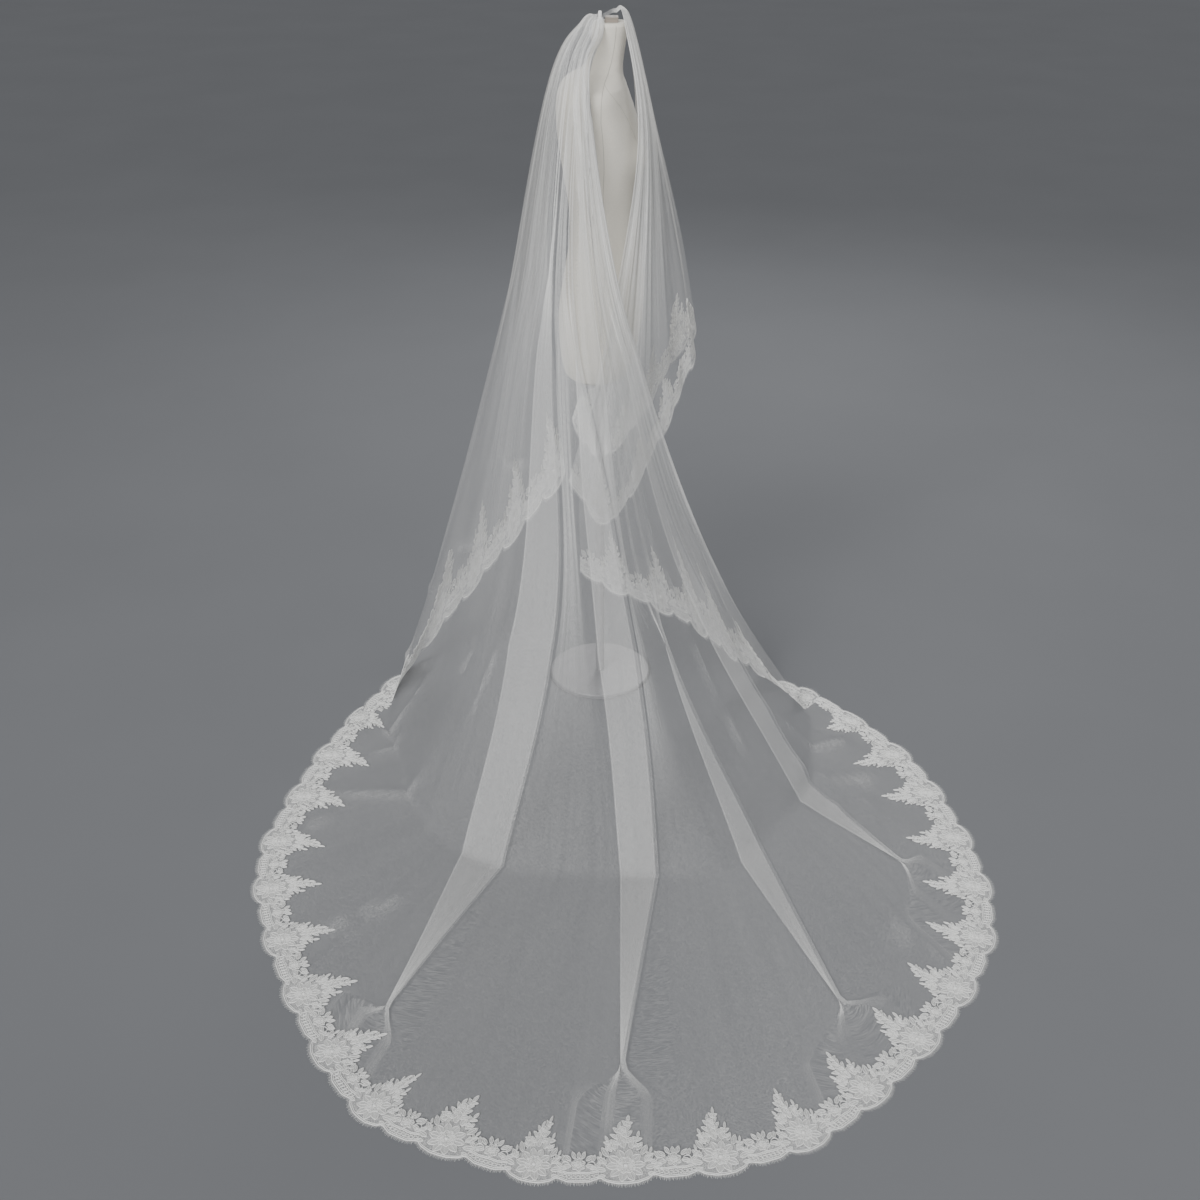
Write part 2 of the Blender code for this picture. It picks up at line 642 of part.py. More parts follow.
def short_base(fall, height):
    """The short tier without its waves, from height 0 at the hem to 5 at the comb."""
    keys = short_keys(fall)
    shape = np.broadcast(fall, height).shape
    keys = np.broadcast_to(keys, shape + (6, 3))
    rows = np.moveaxis(keys, -2, 0)
    height = np.broadcast_to(height, shape)
    last = len(rows) - 1
    first = np.clip(np.floor(height).astype(int), 0, last - 1)
    share = (height - first)[..., None]
    start = pick(keys, first)
    end = pick(keys, first + 1)
    before = np.where((first > 0)[..., None], pick(keys, np.maximum(first - 1, 0)), 2 * start - end)
    after = np.where(
        (first + 2 <= last)[..., None], pick(keys, np.minimum(first + 2, last)), 2 * end - start
    )
    return hermite(start, end, (end - before) / 2, (after - start) / 2, share)


def short_surface(fall, height):
    """The short tier with its waves, which deepen towards the hem."""
    base = short_base(fall, height)
    out = normal_of(short_base, fall, height)
    depth = SHORT_WAVE_DEPTH * np.clip((3.4 - height) / 2.6, 0, 1)
    wave = np.sin(2 * math.pi * SHORT_WAVES_PER_FALL * fall + 0.4)
    wave = 0.75 * wave + 0.25 * np.sin(2 * math.pi * 1.9 * fall)
    return base + out * (depth * wave)[..., None]


def short_reach(fall):
    keys = short_keys(fall)
    return np.linalg.norm(keys[..., 1, :] - keys[..., 0, :], axis=-1)


def build_short_tier():
    tulle = finish("tulle_short_tier", FABRIC_WHITE, 0.55)
    count = (len(SHORT_FALLS) - 1) * SHORT_COLUMNS
    falls = np.arange(count + 1) / SHORT_COLUMNS
    low = BAND_DEPTH / short_reach(falls)
    rows = [short_surface(falls, low + (1 - low) * share) for share in SHORT_LOW_ROWS]
    rows += [short_surface(falls, np.full_like(falls, height)) for height in SHORT_HIGH_ROWS]
    points = np.array(rows)
    normals = surface_normals(points)
    for name, first, last in SHORT_STRETCHES:
        here = slice(first * SHORT_COLUMNS, last * SHORT_COLUMNS + 1)
        grid_wall(name, points[:, here], normals[:, here], WALL, tulle)


def long_band(fall, share):
    """The long tier at a share of the way from its edge to the top of the lace band."""
    return long_surface(fall, level_at(fall, share * band_depth(fall)))


def short_band(fall, share):
    return short_surface(fall, share * BAND_DEPTH / short_reach(fall))


def edge_lengths(band, falls):
    """Length along the edge at each of a run of falls."""
    edge = band(falls, np.zeros_like(falls))
    steps = np.linalg.norm(np.diff(edge, axis=0), axis=-1)
    return np.concatenate([[0.0], np.cumsum(steps)])


def band_place(band, falls, lengths, along, depth):
    """Middle points and normals of lace that goes on from the tulle's edge."""
    fall = np.interp(along, lengths, falls)
    share = depth / BAND_DEPTH
    step = 0.01
    across = band(fall + step, share) - band(fall - step, share)
    up = band(fall, share + 0.08) - band(fall, np.maximum(share - 0.08, 0))
    return band(fall, share), unit(np.cross(across, up))


def floor_place(falls, lengths, along, depth):
    """Middle points and normals of lace that lies flat on the train."""
    fall = np.interp(along, lengths, falls)
    step = 0.02
    edge = long_keys(fall)[..., HEM, :]
    tangent = unit(long_keys(fall + step)[..., HEM, :] - long_keys(fall - step)[..., HEM, :])
    to_foot = long_keys(fall)[..., FOOT, :] - edge
    room = tangent[..., 0] * to_foot[..., 1] - tangent[..., 1] * to_foot[..., 0]
    depth = depth * np.clip((room - LACE_CLEAR) / LACE_DEEPEST, 0.3, 1)
    point = edge.copy()
    point[..., 0] -= tangent[..., 1] * depth
    point[..., 1] += tangent[..., 0] * depth
    point[..., 2] = WALL + SEAM + LACE / 2
    return point, np.broadcast_to([0.0, 0.0, 1.0], point.shape)


def border_pattern(repeat, count, inner):
    """Outline and holes of a run of repeats, as (length along, depth) in metres."""
    start = SEAM / 2
    end = count * repeat - SEAM / 2
    outer = [(repeat * (i + place), depth) for i in range(count) for place, depth in SCALLOPS]
    outer = [(start, SCALLOPS[0][1])] + outer[1:] + [(end, SCALLOPS[0][1])]
    if inner is None:
        inner = [(repeat * (i + place), depth) for i in range(count) for place, depth in CROWN]
        inner = [(start, CROWN[0][1])] + inner + [(end, CROWN[0][1])]
    else:
        middle = [x for x in inner if start + 0.001 < x < end - 0.001]
        inner = [(x, BAND_DEPTH - 2 * SEAM) for x in [start, *middle, end]]
    holes = []
    for i in range(count):
        for place, depth, half_length, half_depth in LACE_HOLES:
            x = repeat * (i + place)
            hole = [(x - half_length, depth), (x, depth - half_depth)]
            holes.append(hole + [(x + half_length, depth), (x, depth + half_depth)])
    return outer + inner[::-1], holes


def inside(loop, x, y):
    """True if a point lies inside a loop."""
    found = False
    for (x0, y0), (x1, y1) in zip(loop, loop[1:] + loop[:1]):
        if (y0 > y) != (y1 > y) and x < x0 + (y - y0) / (y1 - y0) * (x1 - x0):
            found = not found
    return found


def pattern_plate(name, outline, holes, place, thick, material):
    """A closed plate of a flat pattern with holes, each of its points put by place."""
    loops = [outline, *holes]
    flat = [point for loop in loops for point in loop]
    edges = []
    first = 0
    for loop in loops:
        count = len(loop)
        edges += [(first + i, first + (i + 1) % count) for i in range(count)]
        first += count
    millimetres = [(1000 * x, 1000 * y) for x, y in flat]
    result = delaunay_2d_cdt(millimetres, edges, [list(range(len(outline)))], 1, 1e-5)
    spots = [(v[0] / 1000, v[1] / 1000) for v in result[0]]
    triangles = []
    for face in result[2]:
        x = sum(spots[v][0] for v in face) / 3
        y = sum(spots[v][1] for v in face) / 3
        if inside(outline, x, y) and not any(inside(hole, x, y) for hole in holes):
            triangles.append(tuple(face))
    along = np.array([spot[0] for spot in spots])
    depth = np.array([spot[1] for spot in spots])
    middle, normal = place(along, depth)
    vertices = np.concatenate([middle + normal * thick / 2, middle - normal * thick / 2])
    below = len(spots)
    sides = [edge for a, b, c in triangles for edge in ((a, b), (b, c), (c, a))]
    around = set(sides)
    faces = list(triangles) + [(below + c, below + b, below + a) for a, b, c in triangles]
    for a, b in sides:
        if (b, a) not in around:
            faces += [(b, a, below + a), (b, below + a, below + b)]
    return add_solid(name, vertices, faces, material)


def build_lace():
    lace = finish("corded_lace", LACE_WHITE, 0.6)
    for name, (first, last, count) in LACE_RUNS.items():
        falls = np.linspace(first, last, 1001)
        lengths = edge_lengths(long_band, falls)
        repeat = lengths[-1] / count
        if name == "train":
            start = 0
            for number, repeats in enumerate(TRAIN_LACE, 1):
                outline, holes = border_pattern(repeat, repeats, None)

                def place(along, depth, offset=start * repeat, falls=falls, lengths=lengths):
                    return floor_place(falls, lengths, along + offset, depth)

                pattern_plate(f"lace_train_{number}", outline, holes, place, LACE, lace)
                start += repeats
            continue
        columns = [column[0] for column in long_columns() if first <= column[0] <= last]
        inner = list(np.interp(columns, falls, lengths))
        outline, holes = border_pattern(repeat, count, inner)

        def place(along, depth, falls=falls, lengths=lengths):
            return band_place(long_band, falls, lengths, along, depth)

        pattern_plate(f"lace_{name}", outline, holes, place, LACE, lace)
    for name, first, last in SHORT_STRETCHES:
        falls = np.linspace(first, last, 601)
        lengths = edge_lengths(short_band, falls)
        count = max(1, round(lengths[-1] / REPEAT))
        columns = np.arange(first * SHORT_COLUMNS, last * SHORT_COLUMNS + 1) / SHORT_COLUMNS
        inner = list(np.interp(columns, falls, lengths))
        outline, holes = border_pattern(lengths[-1] / count, count, inner)

        def place(along, depth, falls=falls, lengths=lengths):
            return band_place(short_band, falls, lengths, along, depth)

        pattern_plate(name.replace("short_tier", "lace_short"), outline, holes, place, LACE, lace)


def oval(angle, centre, half_depth, half_width):
    """A point of a rounded oval in plan."""
    power = 2 / OVAL_POWER
    c, s = math.cos(angle), math.sin(angle)
    x = centre + half_depth * math.copysign(abs(c) ** power, c)
    y = half_width * math.copysign(abs(s) ** power, s)
    return x, y


def build_torso():
    vertices = []
    for z, back, front, half_width in TORSO_RINGS:
        for i in range(TORSO_SIDES):
            angle = 2 * math.pi * (i + 0.5) / TORSO_SIDES
            x, y = oval(angle, (back + front) / 2, (front - back) / 2, half_width)
            if x > 0:
                side = math.exp(-(((abs(y) - BUST_Y) / BUST_SPREAD) ** 2))
                height = math.exp(-(((z - BUST_Z) / BUST_SPREAD) ** 2))
                x += BUST_DEPTH * side * height
            vertices.append((x, y, z))
    faces = [tuple(range(TORSO_SIDES))[::-1]]
    for ring in range(len(TORSO_RINGS) - 1):
        for i in range(TORSO_SIDES):
            a = ring * TORSO_SIDES + i
            b = ring * TORSO_SIDES + (i + 1) % TORSO_SIDES
            faces.append((a, b, b + TORSO_SIDES, a + TORSO_SIDES))
    top = (len(TORSO_RINGS) - 1) * TORSO_SIDES
    faces.append(tuple(range(top, top + TORSO_SIDES)))
    add_solid("form_torso", vertices, faces, finish("form_cover", FORM_IVORY, 0.7))


def build_box(name, low, high, bevel, material):
    """A box with softened edges."""
    mesh = bpy.data.meshes.new(name)
    work = bmesh.new()
    bmesh.ops.create_cube(work, size=1.0)
    low, high = np.array(low), np.array(high)
    for vertex in work.verts:
        vertex.co = (low + high) / 2 + np.array(vertex.co) * (high - low)
    bmesh.ops.bevel(work, geom=work.edges[:], offset=bevel, segments=2, affect="EDGES", profile=0.5)
    work.to_mesh(mesh)
    work.free()
    mesh.shade_smooth()
    mesh.set_sharp_from_angle(angle=math.radians(40))
    mesh.materials.append(material)
    thing = bpy.data.objects.new(name, mesh)
    bpy.context.scene.collection.objects.link(thing)


def build_turned(name, profile, sides, material):
    """A turned solid from (radius, z) pairs, the ends closed."""
    vertices, faces = [], []
    for radius, z in profile:
        for i in range(sides):
            angle = 2 * math.pi * i / sides
            vertices.append((radius * math.cos(angle), radius * math.sin(angle), z))
    faces.append(tuple(range(sides))[::-1])
    for ring in range(len(profile) - 1):
        for i in range(sides):
            a = ring * sides + i
            b = ring * sides + (i + 1) % sides
            faces.append((a, b, b + sides, a + sides))
    top = (len(profile) - 1) * sides
    faces.append(tuple(range(top, top + sides)))
    add_solid(name, vertices, faces, material)


def build_stand():
    white = finish("stand_enamel", STAND_WHITE, 0.4)
    edge = BASE_RADIUS - BASE_BEVEL
    base = [(BASE_RADIUS, 0.0), (BASE_RADIUS, BASE_THICK - BASE_BEVEL), (edge, BASE_THICK)]
    build_turned("stand_base", base, 40, white)
    top = TORSO_RINGS[0][0] - SEAM
    pole = [(POLE_RADIUS, BASE_THICK + SEAM), (POLE_RADIUS, top)]
    build_turned("stand_pole", pole, 20, white)


def build_neck_block():
    low = (NECK_BLOCK_X[0], -NECK_BLOCK_Y, TORSO_RINGS[-1][0] + SEAM)
    high = (NECK_BLOCK_X[1], NECK_BLOCK_Y, NECK_BLOCK_HIGH)
    build_box("form_neck_block", low, high, 0.001, finish("neck_block", BLOCK_GREY, 0.5))


def build_comb():
    low = (-COMB_THICK / 2, -COMB_LENGTH / 2 - 0.002, COMB_LOW)
    high = (COMB_THICK / 2, COMB_LENGTH / 2 + 0.002, COMB_HIGH)
    build_box("comb_band", low, high, 0.0015, finish("comb_band", FABRIC_WHITE, 0.5))


def main():
    clear_scene()
    build_torso()
    build_neck_block()
    build_stand()
    build_comb()
    build_long_tier()
    build_short_tier()
    build_lace()


main()
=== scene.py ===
"""Looks of a bridal veil of two tiers, worn by a limbless dress form on a stand.

Metres, +Z up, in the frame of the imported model. The cloth follows the same falls as the
solids: a fall is a line of cloth from the comb down to the hem, and its height runs from 0 at
the hem to 6 at the comb (5 for the short tier).
"""

import math

import bmesh
import bpy
import numpy as np
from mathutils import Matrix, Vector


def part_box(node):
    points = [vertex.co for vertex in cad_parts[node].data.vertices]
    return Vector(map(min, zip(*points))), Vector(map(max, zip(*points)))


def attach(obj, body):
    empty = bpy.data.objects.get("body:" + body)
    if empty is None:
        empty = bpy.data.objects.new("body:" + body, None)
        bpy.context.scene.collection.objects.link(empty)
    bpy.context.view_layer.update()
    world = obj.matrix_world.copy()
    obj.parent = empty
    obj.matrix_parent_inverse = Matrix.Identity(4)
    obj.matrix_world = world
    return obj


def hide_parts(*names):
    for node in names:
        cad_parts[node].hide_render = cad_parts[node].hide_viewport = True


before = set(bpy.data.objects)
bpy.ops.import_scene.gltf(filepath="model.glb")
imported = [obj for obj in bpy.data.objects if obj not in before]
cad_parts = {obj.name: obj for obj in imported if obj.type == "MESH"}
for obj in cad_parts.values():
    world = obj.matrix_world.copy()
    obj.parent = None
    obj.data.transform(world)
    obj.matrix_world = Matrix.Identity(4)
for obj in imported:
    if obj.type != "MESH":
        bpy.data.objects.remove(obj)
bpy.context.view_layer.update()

# Photograph's camera
CAMERA_PLACE = (0.0, -3.72, 2.40)
CAMERA_TILT = 60.0
CAMERA_LENS = 43.46
SENSOR_WIDTH = 36.0

# Cloth and comb, as in the part's source
WALL = 0.0012
SEAM = 0.0003
LACE = 0.0010
FLOOR = WALL / 2

TORSO_RINGS = (
    # z, back x, front x, half width
    (0.987, -0.088, 0.062, 0.148),
    (0.995, -0.098, 0.075, 0.160),
    (1.030, -0.105, 0.092, 0.169),
    (1.080, -0.109, 0.104, 0.172),
    (1.150, -0.108, 0.113, 0.170),
    (1.240, -0.094, 0.113, 0.154),
    (1.340, -0.078, 0.106, 0.132),
    (1.420, -0.080, 0.102, 0.130),
    (1.500, -0.092, 0.104, 0.143),
    (1.560, -0.101, 0.105, 0.155),
    (1.620, -0.108, 0.098, 0.164),
    (1.670, -0.109, 0.083, 0.169),
    (1.700, -0.105, 0.072, 0.169),
    (1.722, -0.094, 0.064, 0.156),
    (1.738, -0.075, 0.058, 0.118),
    (1.752, -0.050, 0.056, 0.078),
    (1.775, -0.030, 0.057, 0.052),
    (1.810, -0.021, 0.062, 0.044),
    (1.855, -0.020, 0.068, 0.044),
    (1.862, -0.016, 0.064, 0.040),
)
OVAL_POWER = 2.3
BUST_DEPTH = 0.020
BUST_Y = 0.075
BUST_Z = 1.555
BUST_SPREAD = 0.042

# Long tier: a row for each fall, from its far free edge to the edge that is folded under
LONG_FALLS = (
    # neck, shoulder, hip, knee, foot, hem
    ((-0.030, 0.050, 1.850), (-0.097, 0.108, 1.740), (-0.140, 0.135, 1.15),
     (-0.118, 0.130, 0.82), (-0.100, 0.125, 0.590), (-0.100, 0.125, 0.590)),
    ((-0.040, 0.036, 1.857), (-0.118, 0.062, 1.722), (-0.208, 0.120, 1.15),
     (-0.250, 0.120, 0.66), (-0.272, 0.120, 0.368), (-0.272, 0.120, 0.368)),
    ((-0.044, 0.022, 1.860), (-0.125, 0.020, 1.712), (-0.245, 0.082, 1.15),
     (-0.362, 0.092, 0.52), (-0.430, 0.085, 0.175), (-0.430, 0.085, 0.175)),
    ((-0.045, 0.006, 1.861), (-0.127, -0.020, 1.710), (-0.254, 0.015, 1.15),
     (-0.450, 0.020, 0.45), (-0.575, 0.030, FLOOR), (-0.575, 0.030, FLOOR)),
    ((-0.044, -0.010, 1.861), (-0.123, -0.060, 1.708), (-0.240, -0.105, 1.15),
     (-0.445, -0.155, 0.45), (-0.615, -0.232, FLOOR), (-0.705, -0.190, FLOOR)),
    ((-0.042, -0.022, 1.860), (-0.114, -0.100, 1.706), (-0.215, -0.200, 1.15),
     (-0.385, -0.320, 0.45), (-0.565, -0.430, FLOOR), (-0.825, -0.560, FLOOR)),
    ((-0.038, -0.032, 1.858), (-0.100, -0.135, 1.706), (-0.175, -0.280, 1.15),
     (-0.300, -0.500, 0.45), (-0.470, -0.710, FLOOR), (-0.850, -1.000, FLOOR)),
    ((-0.033, -0.040, 1.856), (-0.084, -0.160, 1.707), (-0.130, -0.330, 1.15),
     (-0.175, -0.600, 0.45), (-0.300, -0.885, FLOOR), (-0.560, -1.610, FLOOR)),
    ((-0.027, -0.047, 1.853), (-0.068, -0.177, 1.709), (-0.100, -0.360, 1.15),
     (-0.060, -0.635, 0.45), (-0.100, -0.925, FLOOR), (-0.280, -1.793, FLOOR)),
    ((-0.022, -0.052, 1.850), (-0.056, -0.186, 1.711), (-0.060, -0.370, 1.15),
     (0.055, -0.630, 0.45), (0.093, -0.932, FLOOR), (0.020, -1.846, FLOOR)),
    ((-0.016, -0.055, 1.847), (-0.046, -0.191, 1.711), (0.000, -0.345, 1.15),
     (0.125, -0.590, 0.45), (0.320, -0.915, FLOOR), (0.490, -1.722, FLOOR)),
    ((-0.010, -0.058, 1.844), (-0.038, -0.194, 1.710), (0.052, -0.285, 1.13),
     (0.280, -0.340, 0.42), (0.545, -0.620, FLOOR), (0.930, -1.170, FLOOR)),
    ((-0.006, -0.060, 1.841), (-0.032, -0.195, 1.708), (0.078, -0.255, 1.12),
     (0.325, -0.215, 0.41), (0.600, -0.340, FLOOR), (0.905, -0.540, FLOOR)),
    ((-0.003, -0.061, 1.838), (-0.0285, -0.1975, 1.705), (0.088, -0.240, 1.12),
     (0.342, -0.152, 0.41), (0.600, -0.210, FLOOR), (0.660, -0.137, FLOOR)),
    ((0.000, -0.0620, 1.838), (-0.0225, -0.1935, 1.703), (0.089, -0.220, 1.12),
     (0.324, -0.099, 0.42), (0.488, -0.028, FLOOR), (0.488, -0.028, FLOOR)),
    ((0.002, -0.0625, 1.838), (-0.0250, -0.1885, 1.701), (0.072, -0.207, 1.12),
     (0.272, -0.117, 0.45), (0.388, -0.088, 0.105), (0.388, -0.088, 0.105)),
    ((0.004, -0.0620, 1.838), (-0.0280, -0.1865, 1.700), (0.049, -0.209, 1.12),
     (0.193, -0.163, 0.53), (0.257, -0.150, 0.250), (0.257, -0.150, 0.250)),
    ((0.005, -0.0615, 1.838), (-0.0305, -0.1855, 1.700), (0.020, -0.211, 1.12),
     (0.100, -0.198, 0.62), (0.126, -0.188, 0.345), (0.126, -0.188, 0.345)),
    ((0.006, -0.0610, 1.838), (-0.0325, -0.1845, 1.699), (-0.014, -0.211, 1.12),
     (0.012, -0.205, 0.67), (0.020, -0.202, 0.402), (0.020, -0.202, 0.402)),
    ((0.007, -0.0605, 1.838), (-0.0345, -0.1835, 1.698), (-0.046, -0.208, 1.12),
     (-0.056, -0.205, 0.72), (-0.055, -0.210, 0.450), (-0.055, -0.210, 0.450)),
)
LONG_COMB = (
    # fall, x, y
    (0, -0.0054, 0.0300),
    (9, -0.0054, -0.0240),
    (10, -0.0054, -0.0285),
    (11, -0.0049, -0.0325),
    (12, -0.0034, -0.0350),
    (13.5, -0.0010, -0.0360),
    (19, 0.0075, -0.0360),
)
LONG_COMB_Z = 1.8760
LEFT_CORNER = 3
RIGHT_CORNER = 14
TRAIN_ENDS = (4, 13)
HEM, FOOT, KNEE, HIP, SHOULDER, NECK, TOP = range(7)
GATHER_DEPTH = 0.0045
GATHERS_PER_FALL = (0.62, 1.03)

# Flat folds of three layers that run down the long tier
FOLD_RADIUS = 0.0018
FOLDS = (
    # fall, flat and folded heights below, folded and flat heights above, heights, widths
    (7, (0.285, 0.335), (3.3, 3.6), (0.335, 1.0, 2.0, 2.55, 3.0, 3.3),
     (0.0, 0.112, 0.115, 0.085, 0.050, 0.0)),
    (9, (0.285, 0.335), (3.0, 3.3), (0.335, 1.0, 2.0, 2.55, 3.0), (0.0, 0.085, 0.100, 0.060, 0.0)),
    (10.25, (0.285, 0.335), (2.0, 2.3), (0.335, 1.0, 2.0), (0.0, 0.078, 0.0)),
    (11.05, (0.395, 0.480), (3.0, 3.3), (0.480, 1.0, 2.0, 2.55, 3.0),
     (0.0, 0.092, 0.080, 0.040, 0.0)),
)
FOLD_PLACES = np.array([1, 1, 1, -1, -1, -1, 1, 1]) / 2
FOLD_TURNS = np.array([0, 1, 0, 0, -1, 0, 5, 8])
FOLD_HEIGHTS = np.array([0, 1, 1.7, 2.3, 3, 4, 3.4, 0])
FOLD_CORNERS = len(FOLD_PLACES)
FOLD_CLEAR = 0.30
FOLD_FLAT_STEP = 0.075

# Short tier: a row for each fall, from the far free edge round the front to the near one
SHORT_FALLS = (
    # rim angle in degrees, chest, waist, hem
    (47, (0.092, 0.150, 1.60), (0.035, 0.198, 1.15), (-0.085, 0.190, 0.740)),
    (40, (0.106, 0.128, 1.60), (0.080, 0.196, 1.12), (-0.005, 0.192, 0.620)),
    (30, (0.119, 0.102, 1.61), (0.126, 0.180, 1.14), (0.105, 0.184, 0.730)),
    (20, (0.131, 0.070, 1.62), (0.172, 0.130, 1.24), (0.196, 0.136, 0.925)),
    (9, (0.136, 0.036, 1.62), (0.200, 0.070, 1.32), (0.246, 0.078, 1.030)),
    (0, (0.137, 0.000, 1.62), (0.206, 0.000, 1.34), (0.256, 0.000, 1.078)),
    (-9, (0.136, -0.036, 1.62), (0.200, -0.070, 1.30), (0.247, -0.078, 1.020)),
    (-20, (0.130, -0.074, 1.62), (0.170, -0.132, 1.22), (0.196, -0.134, 0.905)),
    (-30, (0.117, -0.108, 1.61), (0.118, -0.160, 1.12), (0.108, -0.165, 0.720)),
    (-40, (0.104, -0.130, 1.60), (0.066, -0.180, 1.10), (0.018, -0.174, 0.590)),
    (-47, (0.091, -0.149, 1.60), (0.010, -0.189, 1.10), (-0.088, -0.180, 0.715)),
)
SHORT_COMB_X = 0.0054
SHORT_COMB_Y = 0.0340
SHORT_COMB_Z = 1.8740
CREST_X = 0.0370
CREST_Z = 1.8870
NECK_X = 0.0240
RIM_REACH = 0.0500
RIM_Z = 1.8660
SHORT_WAVE_DEPTH = 0.0065
SHORT_WAVES_PER_FALL = 0.95

# Lace border
REPEAT = 0.1950
SCALLOPS = (
    # place, depth of the outer edge
    (0.00, 0.017),
    (0.06, 0.008),
    (0.17, 0.001),
    (0.27, 0.000),
    (0.37, 0.001),
    (0.48, 0.008),
    (0.54, 0.018),
    (0.66, 0.009),
    (0.88, 0.009),
)
CROWN = (
    # place, depth of the inner edge
    (0.03, 0.050),
    (0.13, 0.074),
    (0.20, 0.118),
    (0.25, 0.112),
    (0.29, 0.152),
    (0.35, 0.094),
    (0.50, 0.054),
    (0.66, 0.060),
    (0.86, 0.048),
)
BAND_DEPTH = 0.0850
LACE_DEEPEST = 0.1520
LACE_CLEAR = 0.0080
LACE_RUNS = (
    # tier, first fall, last fall, repeats in each piece, names after border_ and lace_
    ("long", 0, 4, (5,), ("far_rise",)),
    ("long", 4, 13, (5, 5, 5, 4, 4), ("train_1", "train_2", "train_3", "train_4", "train_5")),
    ("long", 13, 19, (6,), ("under_rise",)),
    ("short", 0, 3, (3,), ("short_far",)),
    ("short", 3, 7, (2,), ("short_front",)),
    ("short", 7, 10, (3,), ("short_near",)),
)
EDGE_SAMPLES = {"long": 1001, "short": 601}

# Raised work of the lace. Sides are shares of a repeat from the flower's or scallop's middle,
# depths run in from the edge, turns are in degrees and sizes in metres.
CORD = 0.0014
RELIEF = 0.0015
LASH = 0.0095
LASHES = 84
WINDOWS = 9
LACE_LIFT = 0.0002
FLOWER_PLACE = 0.27
FLOWER_DEPTH = 0.0430
FLOWER_RADIUS = 0.0390
FLOWER_LEAVES = (
    # side, depth, turn, size
    (-0.205, 0.034, 165, 0.024),
    (-0.190, 0.050, 140, 0.026),
    (-0.165, 0.066, 118, 0.026),
    (-0.120, 0.078, 125, 0.022),
    (0.200, 0.034, 15, 0.024),
    (0.190, 0.050, 38, 0.026),
    (0.170, 0.066, 58, 0.026),
    (0.125, 0.078, 52, 0.022),
    (-0.075, 0.082, 100, 0.024),
    (0.070, 0.082, 82, 0.024),
    (0.000, 0.084, 90, 0.022),
    (-0.215, 0.022, 190, 0.018),
    (0.215, 0.022, -12, 0.018),
)
CROWN_SPRAYS = (
    # line of (side, depth), pairs of leaves, size
    (((0.010, 0.088), (0.040, 0.108), (0.035, 0.128), (0.060, 0.146)), 4, 0.0215),
    (((-0.020, 0.086), (-0.060, 0.100), (-0.062, 0.116), (-0.035, 0.132)), 3, 0.0200),
    (((0.080, 0.080), (0.125, 0.092), (0.150, 0.108)), 2, 0.0180),
    (((-0.085, 0.078), (-0.130, 0.090), (-0.150, 0.102)), 2, 0.0170),
    (((0.190, 0.046), (0.235, 0.056), (0.262, 0.070)), 2, 0.0150),
    (((-0.190, 0.044), (-0.225, 0.052), (-0.240, 0.066)), 1, 0.0150),
)
RING_LEAVES = (
    # side, depth, turn, size
    (0.080, 0.0470, -8, 0.019),
    (0.085, 0.0590, 38, 0.019),
    (0.040, 0.0640, 66, 0.018),
    (0.150, 0.0560, 62, 0.018),
    (0.180, 0.0440, 30, 0.017),
    (0.125, 0.0400, 5, 0.015),
)

# How finely the shown cloth is cut up
COLUMNS_PER_FALL = 16
EDGE_UNDER_LACE = 0.022
TRAIN_STEPS = 34
LOW_STEPS = 24
HIGH_STEPS = 88
FOLD_FILL = (0.03, 0.15, 0.5, 0.85, 0.97)
CORNER_DENSE = (1.0, 2.6, 2.6, 2.6, 2.6, 2.6, 2.6, 1.0)
LAYER_DENSE = 1.45
SHORT_COLUMNS_PER_FALL = 22
SHORT_STEPS = 110
SIDES_DENSE = 1.8
NECK_SHEER = 0.6
GATHER_SPAN = 9
MOST_GATHERED = {"veil_long": 9, "veil_short": 4}

# Flat cut of the cloth: width, length and area
LONG_CUT = (2.80, 3.05)
SHORT_CUT = (1.20, 1.25)

